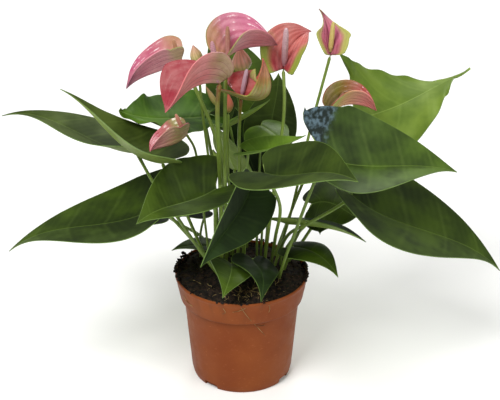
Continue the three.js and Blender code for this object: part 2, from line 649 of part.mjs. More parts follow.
for (const bud of BUDS) {
  const foot = vec(bud.foot);
  const end = foot.clone().add(vec(bud.tip).sub(foot).setLength(1));
  addPiece(bud.name, budSolid(bud).add(stalk(bud, end, YOUNG_PETIOLE_RADIUS)), 'bud');
}

addPiece('pot', potSolid(), 'pot');
addPiece('soil', soilSolid(pockets), 'soil');

export default plant;
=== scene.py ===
import bmesh
import bpy
import random
from math import copysign, cos, exp, hypot, pi, radians, sin, sqrt, tau
from mathutils import Matrix, Vector, noise


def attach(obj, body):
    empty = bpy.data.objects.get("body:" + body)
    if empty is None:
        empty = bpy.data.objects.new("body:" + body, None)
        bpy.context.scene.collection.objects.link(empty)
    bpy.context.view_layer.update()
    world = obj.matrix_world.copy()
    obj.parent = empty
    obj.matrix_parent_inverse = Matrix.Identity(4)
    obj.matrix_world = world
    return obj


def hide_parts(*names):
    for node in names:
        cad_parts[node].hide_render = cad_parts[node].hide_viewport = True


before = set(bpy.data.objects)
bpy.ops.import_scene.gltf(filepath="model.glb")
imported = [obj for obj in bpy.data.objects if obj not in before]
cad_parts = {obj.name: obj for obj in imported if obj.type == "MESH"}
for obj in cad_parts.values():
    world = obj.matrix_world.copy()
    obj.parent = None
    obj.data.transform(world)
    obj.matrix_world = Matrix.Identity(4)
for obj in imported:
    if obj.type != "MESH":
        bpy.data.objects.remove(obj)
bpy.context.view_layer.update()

# The nursery pot: a thin cup moulded in terracotta-coloured polypropylene. Its rim band flares out over a
# step to stack and to be gripped, and its foot is a ring with four drain notches left open by the mould.

MM = 0.001
# The pot's profile, as radii and heights in millimetres, up to the rim and back down to the floor inside.
POT_UNDERSIDE = [(0, 0.9), (38, 0.9), (40.5, 0.7), (41.2, 0), (43, 0), (44, 0.5)]
POT_OUTSIDE = [
    (44.5, 1.6), (46, 8), (49, 42), (52.1, 77), (52.3, 77.9), (53, 78.3), (55, 78.6), (55.5, 79), (55.8, 80),
    (58, 91), (59.1, 97.2), (59.5, 98.8), (60, 99.6), (60, 101.3),
]
POT_INSIDE = [
    (59.6, 101.9), (59, 102), (58.5, 101.6), (58.3, 100.5), (57, 93), (54, 81), (50.9, 78.4), (47.6, 42),
    (43.2, 4), (42, 2.2), (40, 1.6), (0, 1.6),
]
POT_SIDES, POT_EDGE_ANGLE = 160, 50
STEP_HEIGHT, RIM_TOP, WASHED_FROM = 78.3, 102, 60
NOTCH_ANGLES = [-129, -31, 59, 149]
NOTCH_WIDTH, NOTCH_HEIGHT, NOTCH_DEPTH, NOTCH_RADIUS = 14, 5, 7, 44.5


def paint(code):
    """A colour written as red, green and blue in hexadecimal, as light."""
    parts = [int(code[i:i + 2], 16) / 255 for i in (0, 2, 4)]
    return [*[p / 12.92 if p < 0.04045 else ((p + 0.055) / 1.055) ** 2.4 for p in parts], 1]


def join(socket, value):
    """An input takes another node's output, a colour's code or a number."""
    if isinstance(value, bpy.types.NodeSocket):
        socket.id_data.links.new(value, socket)
    else:
        socket.default_value = paint(value) if isinstance(value, str) else value


def add_node(tree, kind, settings=None, **joined):
    """A shader node. Its joined inputs are called by name, or by an n and their number."""
    node = tree.nodes.new("ShaderNode" + kind)
    for key, value in (settings or {}).items():
        setattr(node, key, value)
    for key, value in joined.items():
        join(node.inputs[int(key[1:]) if key[1:].isdigit() else key.replace("_", " ")], value)
    return node


def tree_of(*values):
    """The node tree that the values come from."""
    return next(value.id_data for value in values if isinstance(value, bpy.types.NodeSocket))


def blend(amount, first, second):
    """The second colour over the first, by an amount."""
    tree = tree_of(amount, first)
    return add_node(tree, "Mix", {"data_type": "RGBA"}, n0=amount, n6=first, n7=second).outputs[2]


def fade(value, low, high, start=0, end=1):
    """A value eased from one range into another."""
    ranges = {"From_Min": low, "From_Max": high, "To_Min": start, "To_Max": end}
    eased = {"interpolation_type": "SMOOTHSTEP"}
    return add_node(tree_of(value), "MapRange", eased, Value=value, **ranges).outputs[0]


def sums(operation, first, second=0):
    """One sum on one or two values."""
    return add_node(tree_of(first, second), "Math", {"operation": operation}, n0=first, n1=second).outputs[0]


def times(first, second):
    """One value multiplied by another."""
    return sums("MULTIPLY", first, second)


def grain(tree, size, detail=3, stretch=(1, 1, 1)):
    """Soft grain of a given size in metres, in the object's own coordinates."""
    place = add_node(tree, "TexCoord").outputs["Object"]
    turned = add_node(tree, "Mapping", Vector=place, Scale=[s / size for s in stretch]).outputs[0]
    return add_node(tree, "TexNoise", Vector=turned, Scale=1, Detail=detail).outputs["Fac"]


def mottling(tree, size, low, high, start=0, end=1, detail=3, stretch=(1, 1, 1)):
    """Soft grain of a given size, eased from one range into another."""
    return fade(grain(tree, size, detail, stretch), low, high, start, end)


def new_finish(name, rough, shine):
    """A material with a constant roughness and shine."""
    material = bpy.data.materials.new(name)
    material.use_nodes = True
    shader = material.node_tree.nodes["Principled BSDF"]
    join(shader.inputs["Roughness"], rough)
    join(shader.inputs["Specular IOR Level"], shine)
    return material, material.node_tree


def cover(material, colour, rough=None, relief=None):
    """The material takes its colour and, where they vary, its roughness and its relief: height, strength and
    depth in metres."""
    shader = material.node_tree.nodes["Principled BSDF"]
    join(shader.inputs["Base Color"], colour)
    if rough:
        join(shader.inputs["Roughness"], rough)
    if relief:
        height, strength, depth = relief
        bump = add_node(material.node_tree, "Bump", Height=height, Strength=strength, Distance=depth)
        join(shader.inputs["Normal"], bump.outputs[0])
    return material


def pot_plastic():
    """Terracotta-coloured plastic: clouded, with painted shade darkening the crease under the band, dirt
    washed down from the rim and pale scuffs."""
    material, tree = new_finish("terracotta plastic", 0.5, 0.1)
    colour = blend(mottling(tree, 0.05, 0.3, 0.7), "763919", "82441f")
    place = add_node(tree, "TexCoord").outputs["Object"]
    height = add_node(tree, "SeparateXYZ", Vector=place).outputs[2]
    streaks = mottling(tree, 0.012, 0.5, 0.75, detail=5, stretch=(1, 1, 0.25))
    washed = times(streaks, fade(height, WASHED_FROM * MM, RIM_TOP * MM, 0, 0.5))
    colour = blend(washed, colour, "5a3620")
    from_shaded_crease = sums("ABSOLUTE", sums("SUBTRACT", height, STEP_HEIGHT * MM))
    # Painted shade: the colour darkens towards 4a2414 in the crease under the band.
    colour = blend(fade(from_shaded_crease, 0.0002, 0.0016, 0.45, 0), colour, "4a2414")
    scuffs = mottling(tree, 0.003, 0.62, 0.72, 0, 0.25, 6, (1, 1, 3))
    colour = blend(scuffs, colour, "b8764f")
    rough = mottling(tree, 0.008, 0.3, 0.7, 0.42, 0.56, 4)
    return cover(material, colour, rough, (grain(tree, 0.0012, 2), 0.12, 0.0002))


def placed(name, data):
    """An object in the scene."""
    made = bpy.data.objects.new(name, data)
    bpy.context.scene.collection.objects.link(made)
    return made


def as_mesh(name, made):
    """A finished bmesh as a mesh."""
    mesh = bpy.data.meshes.new(name)
    made.to_mesh(mesh)
    made.free()
    return mesh


def show(name, made, finishes, node):
    """A mesh becomes a piece: it takes its finishes, replaces its CAD node and rides on the one body."""
    piece = placed(name, as_mesh(name, made))
    for finish in finishes:
        piece.data.materials.append(finish)
    if node:
        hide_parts(node)
    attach(piece, "root")
    return piece


def closed_smooth(made):
    """Faces outwards and smooth."""
    bmesh.ops.recalc_face_normals(made, faces=made.faces)
    for face in made.faces:
        face.smooth = True
    return made


def turned_on_axis(profile, sides):
    """A profile of radii and heights in millimetres, spun round the upright axis and closed."""
    made = bmesh.new()
    corners = [made.verts.new((radius * MM, 0, height * MM)) for radius, height in profile]
    edges = [made.edges.new(pair) for pair in zip(corners, corners[1:])]
    bmesh.ops.spin(
        made, geom=corners + edges, cent=(0, 0, 0), axis=(0, 0, 1), angle=tau, steps=sides, use_merge=True)
    bmesh.ops.remove_doubles(made, verts=made.verts, dist=1e-6)
    return closed_smooth(made)


notch_cutter = bmesh.new()
for angle in NOTCH_ANGLES:
    size = Matrix.Diagonal((NOTCH_DEPTH * MM, NOTCH_WIDTH * MM, NOTCH_HEIGHT * 2 * MM, 1))
    place = Matrix.Rotation(radians(angle), 4, "Z") @ Matrix.Translation((NOTCH_RADIUS * MM, 0, 0))
    bmesh.ops.create_cube(notch_cutter, size=1, matrix=place @ size)
cutter = placed("drain notches", as_mesh("drain notches", notch_cutter))
pot_body = turned_on_axis(POT_UNDERSIDE + POT_OUTSIDE + POT_INSIDE, POT_SIDES)
nursery_pot = show("nursery_pot", pot_body, [pot_plastic()], "pot")
opened = nursery_pot.modifiers.new("drain notches", "BOOLEAN")
opened.operation, opened.object, opened.solver = "DIFFERENCE", cutter, "EXACT"
seen = nursery_pot.evaluated_get(bpy.context.evaluated_depsgraph_get())
cut_pot = bpy.data.meshes.new_from_object(seen)
nursery_pot.modifiers.clear()
nursery_pot.data = cut_pot
bpy.data.objects.remove(cutter)
cut_pot.set_sharp_from_angle(angle=radians(POT_EDGE_ANGLE))

# The potting soil: dark peat with bark, filled to just under the rim by the potting machine and lifted by the
# roots into a low, broken mound. It is one closed body, rough on its top.

SOIL_SKIN = [(0, 2.4), (38, 2.4), (41.5, 4.5), (46.8, 42), (49.8, 76), (53, 82), (56.2, 93), (57.4, 99.4)]
MOUND_EDGE, MOUND_FOOT, MOUND_RISE, MOUND_RINGS = 57.2, 99.8, 5.2, 52
BROKEN_FROM, SOIL_SIDES = 99.5, 220


def mound(radius, foot=MOUND_FOOT, rise=MOUND_RISE):
    """The height of a smooth mound at a distance from the pot's middle, in millimetres."""
    return foot + rise * (1 - (radius / MOUND_EDGE) ** 2)


def soil_height(x, y):
    """How far the broken peat stands above the smooth mound, in metres: lumps of three sizes."""
    place = Vector((x, y, 0))
    coarse = noise.noise(place / 0.014) * 2.6
    clods = noise.noise(place / 0.0055 + Vector((5, 2, 0))) * 1.8
    return (coarse + clods + noise.noise(place / 0.0022) * 0.8) * MM


def peat():
    """Damp peat: nearly black, with brown bark and a rough, broken surface."""
    material, tree = new_finish("damp peat", 0.92, 0.15)
    clods = mottling(tree, 0.004, 0.4, 0.68, detail=6)
    bark = mottling(tree, 0.0026, 0.64, 0.7, 0, 0.8, 2, (1, 1.7, 1))
    colour = blend(bark, blend(clods, "15110f", "332820"), "5d4431")
    return cover(material, colour, fade(clods, 0, 1, 0.75, 0.98), (grain(tree, 0.0016, 6), 0.9, 0.0012))


PEAT = peat()
rings = [MOUND_EDGE * (1 - i / MOUND_RINGS) for i in range(MOUND_RINGS + 1)]
soil_body = turned_on_axis(SOIL_SKIN + [(radius, mound(radius)) for radius in rings], SOIL_SIDES)
for vert in soil_body.verts:
    if vert.co.z > BROKEN_FROM * MM:
        vert.co.z += soil_height(vert.co.x, vert.co.y)
show("potting_soil", soil_body, [PEAT], "soil")

# Crumbs of peat and bark: they lie on the mound, and some are caught on the rim where the soil was pressed
# in, mostly at its left and right ends.

# Crumbs on the mound and on the rim: how many, their sizes and their distance from the pot's middle.
CRUMBS_ON_MOUND, MOUND_SIZES, MOUND_REACH = 620, (0.5, 1.7), 57
CRUMBS_ON_RIM, RIM_SIZES, RIM_BAND = 420, (0.5, 1.9), (55.5, 60.4)
# The rim's heaps: their direction from the pot's middle and how widely they spread, in degrees.
RIM_HEAPS = [(178, 20), (158, 22), (168, 16), (-6, 16), (10, 14), (-95, 40), (90, 60)]
HIGH_HEAPS = (178, 158, 168)
HIGH_HEAP_RISE, HEAP_RISE = 4.5, 1.5
RIM_CREST, RIM_INSIDE, CREST_FROM = 101.8, 98.5, 58


def crumb(made, place, size, drawn):
    """One crumb: a small, squashed and turned lump."""
    shape = Matrix.Diagonal([size * drawn.uniform(0.5, 1.2) for _ in range(3)] + [1])
    turn = Matrix.Rotation(drawn.uniform(0, tau), 4, Vector([drawn.uniform(-1, 1) for _ in range(3)]))
    lump = Matrix.Translation(place) @ turn @ shape
    bmesh.ops.create_icosphere(made, subdivisions=1, radius=1, matrix=lump)


drawn = random.Random(7)
crumbs = bmesh.new()
for _ in range(CRUMBS_ON_MOUND):
    radius, angle = MOUND_REACH * MM * sqrt(drawn.random()), drawn.uniform(0, tau)
    x, y = radius * cos(angle), radius * sin(angle)
    place = x, y, mound(radius / MM) * MM + soil_height(x, y)
    crumb(crumbs, place, MM * drawn.uniform(*MOUND_SIZES), drawn)
for _ in range(CRUMBS_ON_RIM):
    middle, width = drawn.choice(RIM_HEAPS)
    angle = radians(drawn.gauss(middle, width * 0.5))
    radius = drawn.uniform(*RIM_BAND)
    rise = drawn.random() ** 2 * (HIGH_HEAP_RISE if middle in HIGH_HEAPS else HEAP_RISE)
    top = RIM_CREST if radius > CREST_FROM else RIM_INSIDE
    place = Vector((radius * cos(angle), radius * sin(angle), top + rise)) * MM
    crumb(crumbs, place, MM * drawn.uniform(*RIM_SIZES), drawn)
show("soil_crumbs", crumbs, [PEAT], None)

# The leaves: each is a heart-shaped blade with a sunken midrib, quilted between its side veins, on a smooth
# round petiole that thickens into a soft knee under the blade. The soil holds the petioles.

# Half of a blade's margin, from the joint round the lobe to the tip, as shares of its length and half width.
LEAF_OUTLINE = [
    (0, 0), (-0.07, 0.16), (-0.15, 0.36), (-0.15, 0.62), (-0.06, 0.85), (0.1, 1),
    (0.3, 0.95), (0.5, 0.76), (0.68, 0.5), (0.82, 0.26), (0.92, 0.1), (1, 0),
]
# A base that looks cut straight across, with a corner that stands up.
SQUARE_OUTLINE = [
    (0, 0), (0.01, 0.3), (0.01, 0.62), (-0.02, 0.92), (-0.07, 1.16), (-0.03, 1.12), (0.08, 0.98),
    (0.28, 0.86), (0.5, 0.72), (0.68, 0.5), (0.82, 0.26), (0.92, 0.1), (1, 0),
]


def grown(root, via, joint, tip, width, **rest):
    """The plan of a leaf, flower or bud, from its root to its tip."""
    return dict(rest, root=root, via=via, joint=joint, tip=tip, width=width)


# For each leaf, in millimetres and degrees: its root in the soil, the points that its petiole passes, its
# joint, its tip and its width laid flat. Then roll turns the blade and fold lifts its halves; bow is how far
# the midrib swings to the side and up near the joint and near the tip; curl, how far the margins bend down;
# twist, how far the blade turns towards its tip; wave and ruffle, the height of its large and small ripples;
# drip, how far the tip is drawn out; lobe, how far the lobes reach back, and sinus, the gap between them;
# base and finish, its outline and its colour, where they aren't the common ones.
LEAVES = {
    "left_far": grown((-9, -16), [(-34, -20, 130), (-62, -22, 179), (-75, -13, 195)], (-93, 24, 209),
        (-218, 70, 224), 90, roll=-20, fold=12, bow=(2, -10, -2, 24), twist=25, drip=0.2, finish="grey"),
    "left_high": grown((-26, 14), [(-40, 4, 134), (-53, -7, 176)], (-68, -20, 220), (-154, -2, 281), 76,
        roll=-10, fold=27, bow=(2, -22, 2, 6), drip=0.22, finish="grey"),
    "left_back": grown((-21, 42), [(-23, 46, 139), (-27, 51, 191)], (-34, 55, 230), (-105, 0, 260), 70,
        roll=8, fold=9, bow=(10, -10, 6, -10), curl=-0.05, twist=15, wave=3.5, ruffle=1.4, finish="gloss"),
    "left_low": grown((-16, -1), [(-33, -9, 124), (-56, -15, 158)], (-72, -20, 180), (-206, -16, 131), 102,
        roll=5, fold=5, bow=(-4, -16, 6, 20), curl=-0.1, twist=-5, drip=0.05),
    "left_front": grown((-23, 5), [(-23, -6, 128), (-23, -17, 163)], (-22, -28, 199), (-86, -95, 200), 78,
        roll=5, fold=20, bow=(5, -10, 2, 10), curl=-0.1, twist=25, lobe=1.4, sinus=2.2),
    "front": grown((1, 10), [(3, -5, 130), (6, -27, 178)], (9, -42, 209), (-33, -116, 171), 56, roll=68,
        fold=25, bow=(-6, 4, 6, 6), curl=0.05, lobe=0.3, finish="deep"),
    "front_small_left": grown((-11, 6), [(-10, -3, 102), (-9, -13, 113)], (-9, -20, 121), (-16, -76, 118), 41,
        roll=15, fold=8, bow=(-2, 9, -2, 12), curl=0.1),
    "front_small_right": grown((11, 12), [(12, 3, 103), (11, -5, 113)], (10, -12, 121), (17, -70, 111), 42,
        roll=15, fold=5, bow=(0, 5, -2, 24), curl=0.2, twist=5, finish="deep"),
    "right_low": grown((36, 3), [(39, 2, 103), (43, 1, 117)], (47, 0, 127), (85, -38, 117), 40, fold=5,
        bow=(0, 10, -2, 12), curl=0.2),
    "right_narrow": grown((33, 10), [(36, 8, 113), (38, 7, 133)], (41, 5, 148), (109, -30, 148), 44, roll=25,
        fold=20, bow=(0, 4, 0, 8), curl=0.1, finish="deep"),
    "right_inner": grown((37, 23), [(46, 25, 113), (56, 28, 135)], (64, 30, 155), (102, -8, 162), 58,
        roll=-38, fold=-10, bow=(-14, 0, -2, -12), curl=0.15),
    "right_front": grown((26, 20), [(30, -11, 142), (33, -45, 192)], (20, -72, 236), (92, -142, 262), 82,
        fold=22, far_fold=6, bow=(0, -6, 2, 16), twist=-18, finish="olive"),
    # This leaf's finish carries a painted reflection of the sky on its lobe.
    "right_big": grown((31, -11), [(39, -24, 130), (46, -27, 153), (59, -31, 196)], (71, -34, 232),
        (187, -14, 208), 97, roll=-35, fold=25, bow=(6, -12, -6, 6), curl=-0.05, twist=20, lobe=1.6,
        sinus=1.3, finish="painted_sky"),
    "right_low_big": grown((26, 6), [(40, 1, 136), (58, -22, 162), (80, -24, 177)], (98, -12, 184),
        (234, 4, 100), 116, roll=-15, fold=17, bow=(8, -10, -4, 20), curl=0.05, twist=-5, drip=0.04),
    "right_high": grown((34, 14), [(69, 34, 138), (94, 64, 180)], (103, 80, 217), (216, 143, 240), 104,
        roll=-64, fold=4, bow=(10, 8, 0, 2), curl=-0.1, twist=104, wave=2, drip=0.14, base="square",
        ruffle=1.8, finish="bright"),
    "back_middle": grown((5, 38), [(3, 60, 137), (0, 85, 180)], (-2, 106, 214), (-27, 140, 289), 75, roll=8,
        fold=15, bow=(0, 8, -6, 16), twist=-5),
    "back_right": grown((17, 26), [(19, 23, 137), (23, 21, 181)], (24, 24, 222), (33, 66, 268), 48, roll=-5,
        fold=10, bow=(0, 3, 3, 2), curl=0.05, finish="olive"),
    "glossy": grown((14, 20), [(14, 15, 138), (16, 12, 199)], (17, 14, 240), (41, -14, 230), 42, roll=-10,
        fold=-5, bow=(0, 4, 0, 4), curl=0.2, finish="young"),
    "young": grown((0, 16), [(2, 6, 139), (4, -6, 190)], (6, -14, 228), (54, -46, 258), 28, roll=-15, fold=20,
        bow=(0, -4, 0, -4), curl=-0.05, finish="young"),
    "sliver": grown((-2, 34), [(-3, 32, 147), (-3, 29, 188)], (-10, 14, 240), (25, 22, 261), 14, roll=20,
        fold=30, bow=(0, -2, 0, -2), finish="young"),
    "behind_stalks": grown((-10, 28), [(-9, 27, 126), (-7, 27, 165)], (-6, 26, 193), (-25, 12, 242), 56,
        fold=10, bow=(0, 0, 0, 4), curl=0.1),
    "centre": grown((21, 41), [(24, 49, 126), (23, 51, 150)], (12, 58, 172), (-6, 62, 236), 62, roll=82,
        fold=8, bow=(0, 4, 0, 4), curl=0.1, finish="deep"),
    "low_left": grown((-24, 32), [(-25, 31, 98), (-27, 30, 104)], (-28, 28, 112), (-64, 22, 111), 26, fold=14,
        bow=(0, 3, 0, 5), curl=0.1),
    "under_left": grown((-37, 15), [(-38, 43, 118), (-33, 39, 140)], (-30, 30, 148), (-58, 34, 138), 30,
        roll=5, fold=8, bow=(0, 3, 0, 6), curl=0.1, finish="deep"),
    "rear_left": grown((-27, 22), [(-35, 43, 111), (-58, 55, 121)], (-72, 62, 128), (-150, 110, 102), 78,
        fold=12, bow=(0, 6, 0, 16), curl=0.1, finish="deep"),
    "rear_right": grown((31, 27), [(45, 35, 113), (63, 47, 128)], (92, 66, 140), (168, 120, 118), 80, fold=12,
        bow=(0, 6, 0, 16), curl=0.1, finish="deep"),
    "rear_low": grown((-2, 40), [(0, 51, 106), (1, 64, 123)], (2, 76, 136), (2, 146, 92), 62, fold=12,
        bow=(0, 6, 0, 14), curl=0.1),
}
# Each leaf colour: the darker and lighter green of the upper face, its green at the tip, its veins and the
# underside, then the roughness and the shine of the upper face.
LEAF_GREENS = {
    "deep": ("0e1709 1a280f 243812 3f5428 55701f", 0.5, 0.08),
    "olive": ("1d290d 2f3e14 43551c 5c7034 5c6a34", 0.5, 0.06),
    "middle": ("1d290c 33450f 4e641e 6f873e 66802a", 0.46, 0.12),
    # This finish's upper face also carries a painted reflection of the sky on one lobe.
    "painted_sky": ("202e0d 394f14 5a7424 7a9244 66802a", 0.44, 0.14),
    "gloss": ("1e3409 3e600f 5a7c22 7a9244 70882e", 0.5, 0.08),
    "bright": ("4a611e 667c2c 7e9438 8aa050 7c9440", 0.5, 0.12),
    "grey": ("222e0d 3a4818 56672a 6f843a 75893e", 0.52, 0.09),
    "young": ("36500d 56741d 6c8a2a 86a048 7c942f", 0.4, 0.16),
}
BLADE_ROWS, BLADE_COLUMNS, COLUMN_POWER = 84, 30, 1.25
BLADE_THICKNESS, MARGIN_STEPS, PATH_STEPS = 0.7, 24, 16
# The lobe's share of the margin, and how the side veins' starts are spread along the midrib.
LOBE_SHARE, RIB_SWEEP, RIB_START = 0.22, 1.15, 1.1
CUT_REACH, WIDEST_SINUS, DRIP_POWER = 0.45, 0.8, 8
SIDE_VEINS, QUILT_HEIGHT, QUILT_FROM, GROOVE_DEPTH, GROOVE_WIDTH = 6, 0.14, 8, 0.6, 1.6
WAVE_COUNT, FAR_WAVE_SHIFT, RUFFLE_COUNT = 3, 1.3, 8
# The unit in millimetres of a point's distance from the midrib, laid flat.
FLAT_UNIT = 100
ROOT_Z, STALK_STEPS, PETIOLE_SIDES = 90, 56, 14
PETIOLE_RADIUS, SLIM_PETIOLE_RADIUS, SLIM_BLADE, KNEE_LENGTH = 1.6, 1.2, 60, 12
# A petiole's width as shares of its radius: midway, and what its sheath and its knee add.
MIDWAY, SHEATH_SWELL, SHEATH_REACH, KNEE_SWELL, JOINT_SHARE, JOINT_FROM = 0.92, 0.2, 0.12, 0.14, 0.75, 0.985


def spaced(line, count):
    """The same line with its points an even way apart."""
    reached = [0]
    for here, there in zip(line, line[1:]):
        reached.append(reached[-1] + (there - here).length)
    points, at = [], 0
    for i in range(count + 1):
        way = reached[-1] * i / count
        while at < len(line) - 2 and reached[at + 1] < way:
            at += 1
        gap = reached[at + 1] - reached[at]
        points.append(line[at].lerp(line[at + 1], min(1, (way - reached[at]) / gap) if gap else 0))
    return points


def smooth_line(points, count, steps, power):
    """Even points along the smooth curve through all the given ones but the first and the last. Its bends
    follow the gaps between them, raised to a power."""
    line = []
    for before, here, there, after in zip(points, points[1:], points[2:], points[3:]):
        gaps = [(b - a).length ** power for a, b in ((before, here), (here, there), (there, after))]
        start = (here - before) / gaps[0] - (there - before) / (gaps[0] + gaps[1]) + (there - here) / gaps[1]
        end = (there - here) / gaps[1] - (after - here) / (gaps[1] + gaps[2]) + (after - there) / gaps[2]
        start, end = start * gaps[1], end * gaps[1]
        for i in range(steps):
            t = i / steps
            bend = (there - here) * 3 - start * 2 - end
            line.append(here + start * t + bend * t * t + ((here - there) * 2 + start + end) * t ** 3)
    return spaced(line + [points[-2]], count)


def blade_shape(blade, outline):
    """A function that gives a point of the blade its place in millimetres, and its place laid flat."""
    joint, tip = Vector(blade["joint"]), Vector(blade["tip"])
    length, along = (tip - joint).length, (tip - joint).normalized()
    level = along.cross(Vector((0, 0, 1))).normalized()
    upright = level.cross(along)
    roll, near_fold = radians(blade.get("roll", 0)), radians(blade["fold"])
    far_fold = radians(blade.get("far_fold", blade["fold"]))
    side = level * cos(roll) + upright * sin(roll)
    face = upright * cos(roll) - level * sin(roll)
    bow, curl, wave, lobe = blade["bow"], blade.get("curl", 0), blade.get("wave", 0), blade.get("lobe", 1)
    half = blade["width"] / 2
    corners = [Vector(p) for p in (outline[0], *outline, outline[-1])]
    margin = smooth_line(corners, BLADE_ROWS, MARGIN_STEPS, 0)

    def midrib(t):
        c = min(max(t, 0), 1)
        near, far, behind = 3 * (1 - c) ** 2 * c, 3 * (1 - c) * c * c, 3 * min(t, 0)
        swing, lift = bow[0] * (near + behind) + bow[2] * far, bow[1] * (near + behind) + bow[3] * far
        return joint + along * length * t + side * swing + face * lift

    def place(share, across):
        reached, reach = margin[round(share * BLADE_ROWS)]
        spread, fold = abs(across), far_fold if across > 0 else near_fold
        if across > 0:
            reach *= 1 - blade.get("far_cut", 0) * max(0, 1 - max(reached, 0) / CUT_REACH)
        flow = max(0, (share - LOBE_SHARE) / (1 - LOBE_SHARE))
        rib = (1 - (1 - flow) ** RIB_SWEEP) ** RIB_START
        if reached < 0:
            reached *= blade.get("far_lobe", lobe) if across > 0 else lobe
            if share < LOBE_SHARE:
                reach = min(reach * blade.get("sinus", 1), max(reach, WIDEST_SINUS))
        else:
            reached += blade.get("drip", 0) * (reached ** DRIP_POWER - reached)
        x, y = (1 - spread) * rib + spread * reached, spread * reach * half
        inside = min(max(x, 0), 1)
        direction = (midrib(inside + 0.001) - midrib(inside - 0.001)).normalized()
        out = (side - direction * side.dot(direction)).normalized()
        up = out.cross(direction)
        twist = radians(blade.get("twist", 0)) * inside
        out, up = out * cos(twist) + up * sin(twist), up * cos(twist) - out * sin(twist)
        shift = FAR_WAVE_SHIFT if across > 0 else 0
        ripple = wave * sin(tau * WAVE_COUNT * share + shift) * spread ** 2
        ripple += blade.get("ruffle", 0) * sin(tau * RUFFLE_COUNT * share) * spread ** 3
        counted = blade.get("ribs", 0) * spread or SIDE_VEINS * share
        quilt = blade.get("quilt", QUILT_HEIGHT) * min(1, y / QUILT_FROM) * (1 - spread ** 4)
        quilt *= sin(pi * counted) ** 2
        groove = blade.get("groove", GROOVE_DEPTH) * exp(-(y / GROOVE_WIDTH) ** 2) * (1 - inside) ** 0.5
        rise = y * sin(fold) - curl * half * (y / half) ** 2 + ripple + quilt - groove
        sideways = copysign(y * cos(fold), across)
        return midrib(x) + out * sideways + up * rise, (x, y / FLAT_UNIT)

    return place


def blade_sheet(blade, outline):
    """A sheet of the blade, with one UV map that follows its veins and one that lays it flat."""
    place = blade_shape(blade, outline)
    made = bmesh.new()
    veins, flat = made.loops.layers.uv.new("veins"), made.loops.layers.uv.new("flat")
    bmesh.ops.create_grid(made, x_segments=BLADE_ROWS, y_segments=BLADE_COLUMNS, size=1)
    for vert in made.verts:
        share = round((vert.co.x + 1) / 2 * BLADE_ROWS) / BLADE_ROWS
        across = copysign(abs(vert.co.y) ** COLUMN_POWER, vert.co.y)
        point, laid = place(share, across)
        vert.co = point * MM
        for loop in vert.link_loops:
            loop[veins].uv = (share, (across + 1) / 2)
            loop[flat].uv = laid
    bmesh.ops.remove_doubles(made, verts=made.verts, dist=1e-6)
    bmesh.ops.reverse_faces(made, faces=made.faces)
    for face in made.faces:
        face.smooth = True
    for edge in made.edges:
        edge.smooth = not edge.is_boundary
    return made


def smooth_path(points, count):
    """An even line of points along the smooth curve through the given ones."""
    points = [Vector(p) for p in points]
    points = [points[0] * 2 - points[1], *points, points[-1] * 2 - points[-2]]
    return smooth_line(points, count, PATH_STEPS, 0.5)


def add_tube(made, line, width, sides, ridge=None):
    """A tube round a line, closed at both ends. width gives its radius at a share of its length, and ridge
    scales it round about."""
    way = made.loops.layers.uv.get("way") or made.loops.layers.uv.new("way")
    steps = len(line) - 1
    directions = [(line[min(i + 1, steps)] - line[max(i - 1, 0)]).normalized() for i in range(steps + 1)]
    outs = [directions[0].orthogonal().normalized()]
    for direction in directions[1:]:
        outs.append((outs[-1] - direction * outs[-1].dot(direction)).normalized())
    grid = bmesh.ops.create_grid(made, x_segments=steps, y_segments=sides, size=1)["verts"]
    for vert in grid:
        step, turn = round((vert.co.x + 1) / 2 * steps), round((vert.co.y + 1) / 2 * sides) / sides
        out, direction = outs[step], directions[step]
        angle = turn * tau
        radius = width(step / steps) if 0 < step < steps else 0
        if ridge:
            radius *= ridge(step / steps, angle)
        for loop in vert.link_loops:
            loop[way].uv = (step / steps, turn)
        vert.co = (line[step] + (out * cos(angle) + direction.cross(out) * sin(angle)) * radius) * MM
    bmesh.ops.remove_doubles(made, verts=grid, dist=1e-7)


def stalk_line(plan):
    """The line of a stalk from its root in the soil to what it carries."""
    return smooth_path([(*plan["root"], ROOT_Z), *plan["via"], plan["joint"]], STALK_STEPS)


def uv_parts(tree, name):
    """The two coordinates of a point on one of the piece's own UV maps."""
    place = add_node(tree, "UVMap", {"uv_map": name}).outputs[0]
    return add_node(tree, "SeparateXYZ", Vector=place).outputs[:2]


def from_middle(across):
    """How far a point is from the midrib towards the margin, from 0 to 1."""
    return sums("ABSOLUTE", sums("SUBTRACT", times(across, 2), 1))


